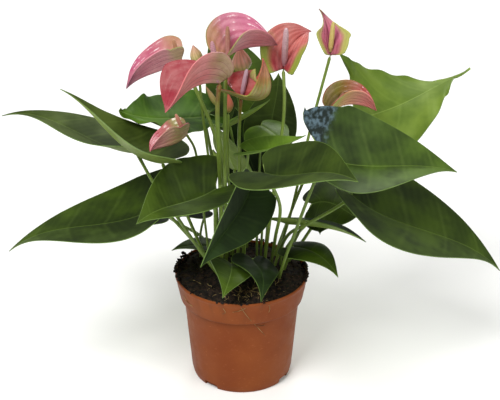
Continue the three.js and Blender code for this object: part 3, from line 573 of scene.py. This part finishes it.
def blade_pattern():
    """Node group: a blade's colour and relief, from its veins, midrib, margin and soft patches."""
    tree = bpy.data.node_groups.new("blade pattern", "ShaderNodeTree")
    sockets = [
        ("INPUT", "Color", "Dark, Light, Vein Colour, Edge Colour"),
        ("INPUT", "Float", "Vein Count, Lengthwise, Vein Strength, Midrib Strength, Edge Width, Patch"),
        ("OUTPUT", "Color", "Colour"), ("OUTPUT", "Float", "Height, Patches"),
    ]
    for way, kind, names in sockets:
        for name in names.split(", "):
            tree.interface.new_socket(name, in_out=way, socket_type="NodeSocket" + kind)
    given, made = tree.nodes.new("NodeGroupInput").outputs, tree.nodes.new("NodeGroupOutput").inputs
    share, across = uv_parts(tree, "veins")
    from_midrib = uv_parts(tree, "flat")[1]
    wander = times(sums("SUBTRACT", grain(tree, 0.02), 0.5), 0.03)
    spread = from_middle(across)
    sideways = times(share, sums("SUBTRACT", 1, given["Lengthwise"]))
    followed = sums("ADD", sideways, times(spread, given["Lengthwise"]))
    counted = times(sums("ADD", followed, wander), given["Vein Count"])
    line = sums("PINGPONG", counted, 0.5)
    vein = times(fade(line, 0, 0.09, 1, 0), fade(spread, 0.7, 0.98, 1, 0))
    fine_line = sums("PINGPONG", times(counted, 5), 0.5)
    fine_vein = fade(fine_line, 0.1, 0.4, 0.22, 0)
    midrib = fade(from_midrib, 0.0015, 0.0065, 1, 0)
    to_edge = sums("DIVIDE", times(from_midrib, sums("SUBTRACT", 1, spread)), sums("MAXIMUM", spread, 0.02))
    edge = fade(sums("DIVIDE", to_edge, given["Edge Width"]), 0.3, 1, 1, 0)
    place = add_node(tree, "TexCoord").outputs["Object"]
    size = sums("DIVIDE", 1, given["Patch"])
    cloud = add_node(tree, "TexNoise", Vector=place, Scale=size, Detail=3).outputs["Fac"]
    patches = fade(cloud, 0.32, 0.68)
    colour = blend(patches, given["Dark"], given["Light"])
    veined = times(sums("MAXIMUM", vein, fine_vein), given["Vein Strength"])
    for amount in (veined, times(midrib, given["Midrib Strength"])):
        colour = blend(amount, colour, given["Vein Colour"])
    colour = blend(times(edge, 0.6), colour, given["Edge Colour"])
    quilt = sums("SUBTRACT", fade(line, 0, 0.5, 0, 0.6), times(fine_vein, 0.2))
    height = sums("ADD", quilt, times(grain(tree, 0.0018, 3), 0.5))
    for name, value in (("Colour", colour), ("Height", height), ("Patches", patches)):
        tree.links.new(value, made[name])
    return tree


BLADE_PATTERN = blade_pattern()


def patterned(tree, **given):
    """The blade's pattern placed in a material with its own values."""
    return add_node(tree, "Group", {"node_tree": BLADE_PATTERN}, **given).outputs


def painted_sky_reflection(tree, colour):
    """A painted reflection of the sky: a mottled blue-grey and near-black patch on one lobe of one leaf, over
    the leaf's colour.
    """
    along, across = uv_parts(tree, "flat")[0], uv_parts(tree, "veins")[1]
    ragged = sums("ADD", along, times(grain(tree, 0.006), 0.06))
    reflection_on_lobe = times(fade(ragged, -0.05, 0.03, 1, 0), fade(across, 0.34, 0.48, 1, 0))
    reflection_mottle = mottling(tree, 0.0042, 0.42, 0.7, detail=12, stretch=(1, 0.6, 1))
    # Painted reflection: mottled blue-grey and near-black, where the sky would reflect off the puckered lobe.
    return blend(reflection_on_lobe, colour, blend(reflection_mottle, "18231f", "596e78"))


def leaf_finishes(name, colours, rough, shine):
    """The upper face, the duller underside and the pale cut margin of a leaf."""
    dark, light, tip, vein, under = colours.split()
    upper, tree = new_finish(f"{name} leaf, upper face", rough, shine)
    tipward = fade(uv_parts(tree, "flat")[0], 0, 0.85, 0, 0.5)
    pattern = patterned(
        tree, Dark=blend(tipward, dark, light), Light=blend(tipward, light, tip),
        Vein_Colour=vein, Edge_Colour="647e34", Vein_Count=SIDE_VEINS, Vein_Strength=0.1,
        Midrib_Strength=0.42, Edge_Width=0.006, Patch=0.03)
    # One finish gets a painted reflection of the sky on one lobe of its upper face.
    colour = painted_sky_reflection(tree, pattern["Colour"]) if name == "painted_sky" else pattern["Colour"]
    rough = fade(pattern["Patches"], 0, 1, rough + 0.08, rough - 0.04)
    cover(upper, colour, rough, (pattern["Height"], 0.06, 0.0006))
    lower, tree = new_finish(f"{name} leaf, underside", 0.55, 0.25)
    pattern = patterned(
        tree, Dark=under, Light="849a48", Vein_Colour="9db060", Edge_Colour="7f9a45", Vein_Count=9,
        Vein_Strength=0.4, Midrib_Strength=0.8, Edge_Width=0.008, Patch=0.03)
    cover(lower, pattern["Colour"], None, (pattern["Height"], 0.3, 0.0006))
    rim, tree = new_finish(f"{name} leaf, margin", 0.5, 0.3)
    cover(rim, blend(mottling(tree, 0.01, 0.3, 0.7), "4c6428", "66803a"))
    return [upper, lower, rim]


def colour_run(tree, along, *stops):
    """Colours that run into each other. Each stop is a place and a colour's code."""
    ramp = add_node(tree, "ValToRGB", Fac=along)
    elements = ramp.color_ramp.elements
    elements[0].position, elements[0].color = stops[0][0], paint(stops[0][1])
    elements[1].position, elements[1].color = stops[-1][0], paint(stops[-1][1])
    for place, code in stops[1:-1]:
        elements.new(place).color = paint(code)
    return ramp.outputs[0]


def stalk_finish(name, foot, middle, top):
    """A green, juicy stalk: fine streaks, and other colours at its foot and its top."""
    material, tree = new_finish(name, 0.42, 0.25)
    along = uv_parts(tree, "way")[0]
    colour = colour_run(tree, along, (0.04, foot), (0.25, middle), (0.82, middle), (1, top))
    streaks = mottling(tree, 0.0016, 0.35, 0.7, 0, 0.3, 3, (1, 1, 0.12))
    colour = blend(streaks, colour, "8fa34c")
    rough = mottling(tree, 0.004, 0.3, 0.7, 0.32, 0.46)
    return cover(material, colour, rough, (grain(tree, 0.0009, 3, (1, 1, 0.15)), 0.2, 0.0003))


PETIOLE = stalk_finish("leaf petiole", "55602a", "5f7630", "6d8638")
LEAF_FINISHES = {name: leaf_finishes(name, *greens) for name, greens in LEAF_GREENS.items()}


def thicken(piece, thickness):
    """The sheet gets its body. Its underside and its margin have finishes of their own."""
    solid = piece.modifiers.new("thickness", "SOLIDIFY")
    solid.thickness, solid.offset = thickness * MM, 0
    solid.material_offset, solid.material_offset_rim = 1, 2


for name, leaf in LEAVES.items():
    sheet = blade_sheet(leaf, SQUARE_OUTLINE if "base" in leaf else LEAF_OUTLINE)
    blade = show("blade_" + name, sheet, LEAF_FINISHES[leaf.get("finish", "middle")], "leaf_" + name)
    thicken(blade, BLADE_THICKNESS)
    radius = SLIM_PETIOLE_RADIUS if leaf["width"] < SLIM_BLADE else PETIOLE_RADIUS
    line = stalk_line(leaf)
    knee = KNEE_LENGTH / sum((b - a).length for a, b in zip(line, line[1:]))
    petiole = bmesh.new()

    def petiole_width(t):
        sheath = SHEATH_SWELL * max(0, 1 - t / SHEATH_REACH)
        swelling = KNEE_SWELL * exp(-((1 - t - knee * 0.6) / (knee * 0.5)) ** 2)
        return radius * (MIDWAY + sheath + swelling) * (JOINT_SHARE if t > JOINT_FROM else 1)

    add_tube(petiole, line, petiole_width, PETIOLE_SIDES)
    show("petiole_" + name, closed_smooth(petiole), [PETIOLE], "leaf_" + name)

# The flower stalks: each is a straight, round, juicy peduncle that carries one flower, green at its foot and
# tinged with red-brown under the front ones.

# For each flower: its stalk and spathe, set out as a leaf is, the stalk's radius and the top of its spadix.
# far_fold, far_lobe and far_cut shape a blade's far half where it differs from the near one.
FLOWERS = {
    "left": grown((-21, 13), [(-17, -4, 195), (-22, -15, 242), (-36, -15, 281)], (-50, -15, 313),
        (-95, -34, 295), 60, roll=-12, fold=45, bow=(4, -4, 2, 6), curl=0.05, twist=-13, stalk=1.8,
        spadix=(-56, -17, 332)),
    "front": grown((-18, 8), [(-18, -23, 195), (-19, -40, 247), (-19, -56, 290)], (-17, -64, 313),
        (-60, -92, 299), 62, roll=-18, fold=32, bow=(9, 12, 6, 2), curl=-0.3, twist=6, lobe=0.8,
        far_lobe=-0.3, far_cut=0.55, stalk=2.1, spadix=(-23, -59, 347)),
    "top": grown((-14, 14), [(-14, -7, 193), (-14, -15, 240), (-13, -19, 287)], (-12, -20, 316), (31, 9, 317),
        66, roll=-11, fold=60, bow=(-10, 4, 2, 4), twist=5, stalk=1.8, spadix=(-11, -15, 343)),
    "upper_right": grown((19, 9), [(29, -18, 199), (36, -10, 254), (37, -1, 274)], (36, 10, 295),
        (61, 46, 315), 58, fold=62, far_fold=36, bow=(-6, 3, -6, 8), twist=-8, lobe=1.7, sinus=1.3, stalk=1.6,
        spadix=(38, 2, 335)),
    "tall": grown((26, 29), [(40, 27, 129), (60, 9, 238), (69, -1, 284)], (75, -9, 315), (66, 24, 344), 54,
        fold=58, bow=(2, -5, 6, 0), curl=0.1, lobe=1.4, sinus=1.2, drip=0.3, stalk=1.4, spadix=(77, -5, 343)),
    "middle": grown((-4, 12), [(-2, 5, 190), (-2, -2, 234), (-1, -13, 261)], (0, -24, 282), (18, -36, 323),
        54, roll=-28, fold=50, bow=(12, -30, 0, -16), curl=0.05, twist=-7, stalk=1.6, spadix=(5, -20, 307)),
    "low_right": grown((28, 37), [(50, 38, 157), (74, 38, 222)], (81, 37, 244), (121, 55, 236), 50, roll=-17,
        fold=70, bow=(-8, 5, -3, 6), curl=0.05, twist=4, stalk=1.5, spadix=(90, 41, 260)),
    "low_left": grown((-27, 4), [(-37, 5, 194), (-40, -3, 224)], (-46, -27, 250), (-76, -52, 246), 43,
        roll=-17, fold=54, bow=(5, -8, 7, 0), curl=0.05, twist=-18, stalk=1.2, spadix=(-55, -27, 269)),
}
GREEN_STALK = stalk_finish("green flower stalk", "5c6c2c", "6c8234", "6f8236")
RED_STALK = stalk_finish("red-topped flower stalk", "5c6c2c", "6c8234", "74301e")
RED_TOPPED = {"front", "middle"}
# A stalk's width as shares of its radius: midway, and what its foot and its head add.
WAIST, FOOT_SWELL, FOOT_REACH, HEAD_SWELL, HEAD_REACH = 0.9, 0.18, 0.1, 0.12, 0.05

for name, flower in FLOWERS.items():
    peduncle = bmesh.new()

    def peduncle_width(t):
        head = HEAD_SWELL * max(0, 1 - (1 - t) / HEAD_REACH)
        return flower["stalk"] * (WAIST + FOOT_SWELL * max(0, 1 - t / FOOT_REACH) + head)

    add_tube(peduncle, stalk_line(flower), peduncle_width, PETIOLE_SIDES)
    finish = RED_STALK if name in RED_TOPPED else GREEN_STALK
    show("flower_stalk_" + name, closed_smooth(peduncle), [finish], "peduncle_" + name)

# The spathes: each is a waxy, heart-shaped bract that stands for the flower's petal. It is folded up along
# its midrib round the spike, glossy inside, dull with raised veins outside, and grows on its stalk's end.

SPATHE_OUTLINE = [
    (0, 0), (-0.05, 0.14), (-0.14, 0.34), (-0.16, 0.6), (-0.06, 0.86), (0.12, 1),
    (0.32, 0.97), (0.54, 0.78), (0.74, 0.47), (0.89, 0.17), (1, 0),
]
# For each spathe: its colours from the lobes to the tip inside and outside, its veins inside and outside, its
# rim, for some how strong the painted highlights inside are, and its flanks' colour and how far along they
# reach.
SPATHE_COLOURS = {
    "left": dict(inside="a07050 a85a64 aa4a6a 923a5a", outside="b8a07a cc8a92 c47886 84465f",
        veins="9c4464 7c4456", rim="7e8444", painted_glint=0.7),
    "front": dict(inside="963e40 922e38 8a2430 98303c", outside="887048 c07070 c86c6c bc585c",
        veins="7c2430 6c343a", rim="98645e"),
    "top": dict(inside="a87c56 b4647a b85278 a8406a", outside="a09a5c cc8690 cc7480 ba6472",
        veins="cc7c96 804454", rim="84803e", painted_glint=0.8),
    "upper_right": dict(inside="9a363c b45450 bc6860 ae5656", outside="74842e 8c883c 9c624c 9c4c54",
        veins="c07068 785a2a", rim="74802f", flank=("86963a", 0.3)),
    "tall": dict(inside="8c2a48 b45a76 b8687c 8c3450", outside="848e38 929840 98744e 7c5a62",
        veins="84183c 6c7c36", rim="8a963e", flank=("a4a458", 0.95)),
    "middle": dict(inside="942428 ae403a b45448 a8362c", outside="78822c 8a9036 82842f a43a2a",
        veins="962c2c a45434", rim="8c5030"),
    "low_right": dict(inside="84763a 8c8238 b84840 c44a48", outside="bcc85a dcae78 f09088 e06466",
        veins="50261c a43e3a", rim="a04c3c", painted_glint=0.9),
    "low_left": dict(inside="8e8c4e 9c5a4e a03a4a a03c4a", outside="868450 928654 a07060 a04a56",
        veins="843844 98484e", rim="9a4c50"),
}
# Where each colour lies, from the lobes to the tip.
COLOUR_PLACES = (0, 0.18, 0.6, 0.97)
# For each face: its roughness, how strongly its veins show and how far they stand out.
SPATHE_FACES = {"inside": (0.22, 0.24, 0.4), "outside": (0.45, 0.85, 0.8), "margin": (0.4, 0.2, 0.1)}
# The strength of the painted highlights inside a spathe that isn't given its own.
FAINT_PAINTED_GLINT = 0.05
SPATHE_THICKNESS, SPATHE_RIBS, SPATHE_QUILT, SPATHE_GROOVE = 0.8, 5, 0.8, 0.5


def spathe_face(flower, face):
    """One face of a spathe: its colours run from the lobes to the tip, under fine veins that meet at the tip.
    Inside, painted highlights lie in broken white streaks on the crests between them, and the flanks may be
    green."""
    given, (rough, strength, relief) = SPATHE_COLOURS[flower], SPATHE_FACES[face]
    rim, (inner_vein, outer_vein) = given["rim"], given["veins"].split()
    colours = given["inside" if face == "inside" else "outside"].split()
    vein = {"inside": inner_vein, "outside": outer_vein, "margin": rim}[face]
    if face == "margin":
        colours[0] = rim
    material, tree = new_finish(f"{flower} spathe, {face}", rough, 0.5)
    along = uv_parts(tree, "flat")[0]
    wander = times(sums("SUBTRACT", grain(tree, 0.015), 0.5), 0.25)
    run = colour_run(tree, sums("ADD", along, wander), *zip(COLOUR_PLACES, colours))
    edge = blend(fade(along, 0, 0.35), rim, run)
    pattern = patterned(
        tree, Dark=run, Light=blend(0.18, run, "f0c8c0"), Vein_Colour=vein, Edge_Colour=edge,
        Vein_Count=SPATHE_RIBS, Lengthwise=1, Vein_Strength=strength, Midrib_Strength=0.5, Edge_Width=0.008,
        Patch=0.012)
    colour = pattern["Colour"]
    if face == "inside":
        # Painted highlight: broken white streaks on the crests inside, strongest midway along the spathe.
        crests = fade(pattern["Height"], 0.7, 0.88)
        streaks = times(crests, mottling(tree, 0.009, 0.47, 0.58))
        middle = times(fade(along, 0.02, 0.3), fade(along, 0.6, 0.95, 1, 0))
        painted_glint = times(times(streaks, middle), given.get("painted_glint", FAINT_PAINTED_GLINT))
        colour = blend(painted_glint, colour, "f6e6e6")
    if face == "inside" and "flank" in given:
        green, reach = given["flank"]
        spread = from_middle(uv_parts(tree, "veins")[1])
        outer = sums("ADD", spread, times(wander, 0.8))
        flanked = times(fade(outer, 0.5, 0.85), fade(along, reach - 0.15, reach + 0.15, 1, 0))
        colour = blend(flanked, colour, green)
    rough = fade(pattern["Patches"], 0, 1, rough + 0.06, rough - 0.03)
    return cover(material, colour, rough, (pattern["Height"], relief, 0.0008))


for name, flower in FLOWERS.items():
    shape = {**flower, "ribs": SPATHE_RIBS, "quilt": SPATHE_QUILT, "groove": SPATHE_GROOVE}
    faces = [spathe_face(name, face) for face in SPATHE_FACES]
    spathe = show("hood_" + name, blade_sheet(shape, SPATHE_OUTLINE), faces, "spathe_" + name)
    thicken(spathe, SPATHE_THICKNESS)

# The spadices: each is the fleshy spike of tiny flowers, set in close spirals, that stands on the spathe's
# base. Its colour changes from its foot to its top.

SPADIX_COLOURS = {
    "left": ("8a5a34", "a8744a"), "front": ("8d5a68", "a5707c"), "top": ("9a5a5c", "8a5c34"),
    "upper_right": ("b57c8c", "c2a0a8"), "tall": ("a8903c", "b8a850"), "middle": ("a07484", "c0a0b0"),
    "low_right": ("8a7a44", "a0644c"), "low_left": ("9a5a40", "b87458"),
}
# The radius at a share of the length, as a share of the widest.
SPADIX_PROFILE = [
    (0, 0), (0.005, 0.45), (0.18, 0.95), (0.5, 1), (0.85, 0.82), (0.95, 0.6), (0.99, 0.32), (1, 0),
]
SPADIX_STEPS, SPADIX_SIDES = 60, 30
# Its foot stands this far off the stalk's end: along the stalk and along the spathe.
SEAT_RISE, SEAT_REACH = 0.8, 1.6
# How much wider a spike is for each millimetre of its length.
SPIKE_GROWTH = 0.045
# The tiny flowers lie on two sets of spirals: waves along the spike, and turns of each set round it.
KNOB_WAVES, LEFT_TURNS, RIGHT_TURNS, KNOB_HEIGHT = 75, 4, 5, 0.05


def profile_at(profile, t):
    """The profile's radius at a share of the length."""
    for (start, low), (end, high) in zip(profile, profile[1:]):
        if t <= end:
            return low + (high - low) * (t - start) / (end - start)
    return 0


def spike_flesh(name, foot, top):
    """Tiny packed flowers: pale tips, darker gaps, and a colour that shifts from foot to top."""
    material, tree = new_finish(name, 0.55, 0.3)
    along, around = uv_parts(tree, "way")
    waves = times(along, KNOB_WAVES)
    rows = sums("SINE", sums("ADD", waves, times(around, LEFT_TURNS * tau)))
    slants = sums("SINE", sums("SUBTRACT", waves, times(around, RIGHT_TURNS * tau)))
    knobs = fade(times(rows, slants), -0.6, 0.8)
    colour = blend(times(knobs, 0.3), blend(along, foot, top), "d8c0b4")
    return cover(material, colour, None, (knobs, 0.6, 0.0004))


def knobbly(t, angle):
    """How far the tiny flowers stand out of the spike, as a scale of its radius."""
    waves = KNOB_WAVES * t
    return 1 + KNOB_HEIGHT * sin(waves + LEFT_TURNS * angle) * sin(waves - RIGHT_TURNS * angle)


for name, flower in FLOWERS.items():
    joint, top = Vector(flower["joint"]), Vector(flower["spadix"])
    arrival = (joint - Vector(flower["via"][-1])).normalized()
    along = (Vector(flower["tip"]) - joint).normalized()
    foot = joint + arrival * SEAT_RISE + along * SEAT_REACH
    thick = 1 + SPIKE_GROWTH * (top - foot).length
    spike = bmesh.new()
    line = [foot.lerp(top, i / SPADIX_STEPS) for i in range(SPADIX_STEPS + 1)]
    add_tube(spike, line, lambda t: thick * profile_at(SPADIX_PROFILE, t), SPADIX_SIDES, knobbly)
    finish = spike_flesh(f"{name} spadix", *SPADIX_COLOURS[name])
    show("spike_" + name, closed_smooth(spike), [finish], "spadix_" + name)

# The buds: each is a spathe still rolled round its spadix, one edge lapped over the other, on a thin green
# stalk of its own.

# For each bud: its stalk and roll, set out as a leaf is, and its colours from its foot to its point.
BUDS = {
    "middle": grown((1, 37), [(1, 35, 158), (-2, 26, 240)], (1, 12, 290), (-1, 12, 314), 18,
        colours=("93a23e", "c88a76", "c47c68")),
    "left": grown((-19, 18), [(-28, 5, 205), (-33, -3, 259)], (-36, -12, 309), (-40, -12, 325), 11,
        colours=("8c9c44", "b8a070", "c08a78")),
    "slim": grown((-12, 24), [(-16, 5, 207), (-20, -2, 247)], (-21, -5, 267), (-30, -5, 285), 5.2,
        colours=("8a9440", "a89258", "a87a5c")),
    "low": grown((-7, 17), [(-9, 12, 150), (-12, 7, 210)], (-11, 5, 256), (-11, 5, 274), 9,
        colours=("8c8a40", "b05a44", "b8503c")),
}
BUD_PROFILE = [
    (0, 0), (0.01, 0.3), (0.08, 0.62), (0.2, 0.88), (0.35, 1), (0.5, 0.93), (0.62, 0.78), (0.75, 0.55),
    (0.88, 0.3), (0.96, 0.14), (1, 0),
]
BUD_STEPS, BUD_SIDES, BUD_VEINS, BUD_STALK_RADIUS = 48, 48, 12, 1.15
# How deep the lap is, where round the bud it ends, and how far it winds on the way up.
LAP_DEPTH, LAP_END, LAP_WIND = 0.16, 0.93, 0.35


def bud_skin(name, foot, middle, top):
    """A rolled spathe: veins that run from the foot to the point, and a colour that ripens upwards."""
    material, tree = new_finish(name, 0.42, 0.45)
    along, around = uv_parts(tree, "way")
    run = colour_run(tree, along, (0.05, foot), (0.5, middle), (0.95, top))
    line = sums("PINGPONG", sums("ADD", times(around, BUD_VEINS), along), 0.5)
    colour = blend(fade(line, 0.05, 0.3, 0.4, 0), run, "7d6a3c")
    return cover(material, colour, None, (sums("ADD", line, grain(tree, 0.002)), 0.35, 0.0005))


def lapped(t, angle):
    """How the bud's radius falls round about, to rise in a step where one edge laps over the other."""
    turn = (angle / tau + t * LAP_WIND) % 1
    return 1 - LAP_DEPTH * (turn if turn < LAP_END else LAP_END * (1 - turn) / (1 - LAP_END))


for name, bud in BUDS.items():
    foot, tip = Vector(bud["joint"]), Vector(bud["tip"])
    rolled, stalk = bmesh.new(), bmesh.new()
    line = [foot.lerp(tip, i / BUD_STEPS) for i in range(BUD_STEPS + 1)]
    add_tube(rolled, line, lambda t: bud["width"] / 2 * profile_at(BUD_PROFILE, t), BUD_SIDES, lapped)
    skin = bud_skin(f"{name} bud", *bud["colours"])
    show("rolled_bud_" + name, closed_smooth(rolled), [skin], "bud_" + name)
    add_tube(stalk, stalk_line(bud), lambda t: BUD_STALK_RADIUS, PETIOLE_SIDES)
    show("bud_stalk_" + name, closed_smooth(stalk), [GREEN_STALK], "bud_" + name)

# Roots and fibres: thin pale roots of the plant and coir from the mix. They lie on the soil, mostly at its
# front, and a few have dried onto the pot's wall.

FIBRES_ON_SOIL, FIBRE_JOINTS, FIBRE_STEP, FIBRE_SIDES = 64, 7, 2.2, 5
FIBRE_RADIUS, DRIED_RADIUS, DRIED_LIFT, FIBRE_CURVE, DRIED_CURVE = 0.22, 0.2, 0.25, 10, 16
# Where fibres start: their direction from the pot's middle, how widely it spreads, and their distance.
FIBRE_SIDE, FIBRE_SPREAD, FIBRE_BAND = -88, 26, (34, 57)
# The mound that they follow, the radius that they keep inside, how high they lie and how sharply they bend.
FIBRE_FOOT, FIBRE_RISE, FIBRE_EDGE = 97.6, 7.4, 57
FIBRE_LIFT, FIBRE_SCATTER, FIBRE_BEND = 0.5, 1.4, 0.6
# The runs of each dried root on the pot's wall, seen from the front: to the right and up, in millimetres.
DRIED_ON = [
    [(-1, 101), (3.5, 92), (8, 84.5), (13, 75), (18, 67.5), (21.7, 61.7)],
    [(-8, 93.5), (-2, 95.2), (4, 98.5)],
    [(-52, 92), (-47, 88), (-43, 87.5)],
    [(24, 99), (25, 94), (24, 90)],
    [(-16, 97), (-14, 92.5), (-17, 90)],
    [(14, 76), (17, 74.2), (21, 74)],
]


def fibre_skin():
    """Dry fibre, straw-coloured with brown lengths."""
    material, tree = new_finish("dry fibre", 0.8, 0.2)
    return cover(material, blend(mottling(tree, 0.006, 0.4, 0.6), "5f4a30", "a08a5c"))


fibres = bmesh.new()
for _ in range(FIBRES_ON_SOIL):
    angle = radians(drawn.gauss(FIBRE_SIDE, FIBRE_SPREAD))
    radius = drawn.uniform(*FIBRE_BAND)
    heading, line = drawn.uniform(0, tau), []
    x, y = radius * cos(angle), radius * sin(angle)
    for _ in range(FIBRE_JOINTS):
        reach = min(1, FIBRE_EDGE / hypot(x, y))
        x, y = x * reach, y * reach
        top = mound(hypot(x, y), FIBRE_FOOT, FIBRE_RISE) + soil_height(x * MM, y * MM) / MM
        line.append(Vector((x, y, top + FIBRE_LIFT + drawn.uniform(0, FIBRE_SCATTER))))
        heading += drawn.uniform(-FIBRE_BEND, FIBRE_BEND)
        x, y = x + FIBRE_STEP * cos(heading), y + FIBRE_STEP * sin(heading)
    add_tube(fibres, smooth_path(line, FIBRE_CURVE), lambda t: FIBRE_RADIUS, FIBRE_SIDES)
pot_wall = [(height, radius) for radius, height in POT_OUTSIDE]
for run in DRIED_ON:
    line = []
    for x, z in run:
        out = profile_at(pot_wall, z) + DRIED_LIFT
        line.append(Vector((x, -sqrt(out ** 2 - x ** 2), z)))
    add_tube(fibres, smooth_path(line, DRIED_CURVE), lambda t: DRIED_RADIUS, FIBRE_SIDES)
show("dry_fibres", closed_smooth(fibres), [fibre_skin()], None)

# The stage: a plain pale floor under soft studio light, with the camera at the photograph's angle. The
# floor isn't part of the object.

FOCUS = Vector((7.6, 0, 174)) * MM
PITCH = radians(27)
DISTANCE, FLOOR_SIZE, WORLD_LIGHT = 1.4, 6, 0.34
FOCAL_PIXELS, IMAGE_WIDTH, SENSOR_WIDTH = 1585, 500, 36
# Each soft light: its place, its size in metres and its power in watts.
LIGHTS = {
    "key": ((-0.6, -1, 1.7), 0.9, 38), "fill": ((1.2, -0.8, 1), 0.9, 8),
    "rear": ((0.3, 1.2, 1.4), 1, 16),
}

floor_mesh = bmesh.new()
bmesh.ops.create_grid(floor_mesh, x_segments=4, y_segments=4, size=FLOOR_SIZE)
floor = placed("floor", as_mesh("floor", floor_mesh))
pale, tree = new_finish("pale floor", 0.8, 0.2)
floor.data.materials.append(cover(pale, blend(grain(tree, 0.3), "f2f2f0", "f6f6f4")))

world = bpy.data.worlds.new("studio")
bpy.context.scene.world = world
world.use_nodes = True
backdrop = world.node_tree.nodes["Background"]
join(backdrop.inputs["Color"], "ffffff")
join(backdrop.inputs["Strength"], WORLD_LIGHT)
for name, (place, size, power) in LIGHTS.items():
    lamp = bpy.data.lights.new(name, "AREA")
    lamp.size, lamp.energy = size, power
    softbox = placed(name, lamp)
    softbox.location = place
    softbox.rotation_euler = (FOCUS - Vector(place)).to_track_quat("-Z", "Y").to_euler()

lens = bpy.data.cameras.new("camera")
lens.sensor_width = SENSOR_WIDTH
lens.lens = SENSOR_WIDTH * FOCAL_PIXELS / IMAGE_WIDTH
camera = placed("camera", lens)
camera.location = FOCUS - Vector((0, cos(PITCH), -sin(PITCH))) * DISTANCE
camera.rotation_euler = (pi / 2 - PITCH, 0, 0)
bpy.context.scene.camera = camera
bpy.context.scene.view_settings.view_transform = "Standard"
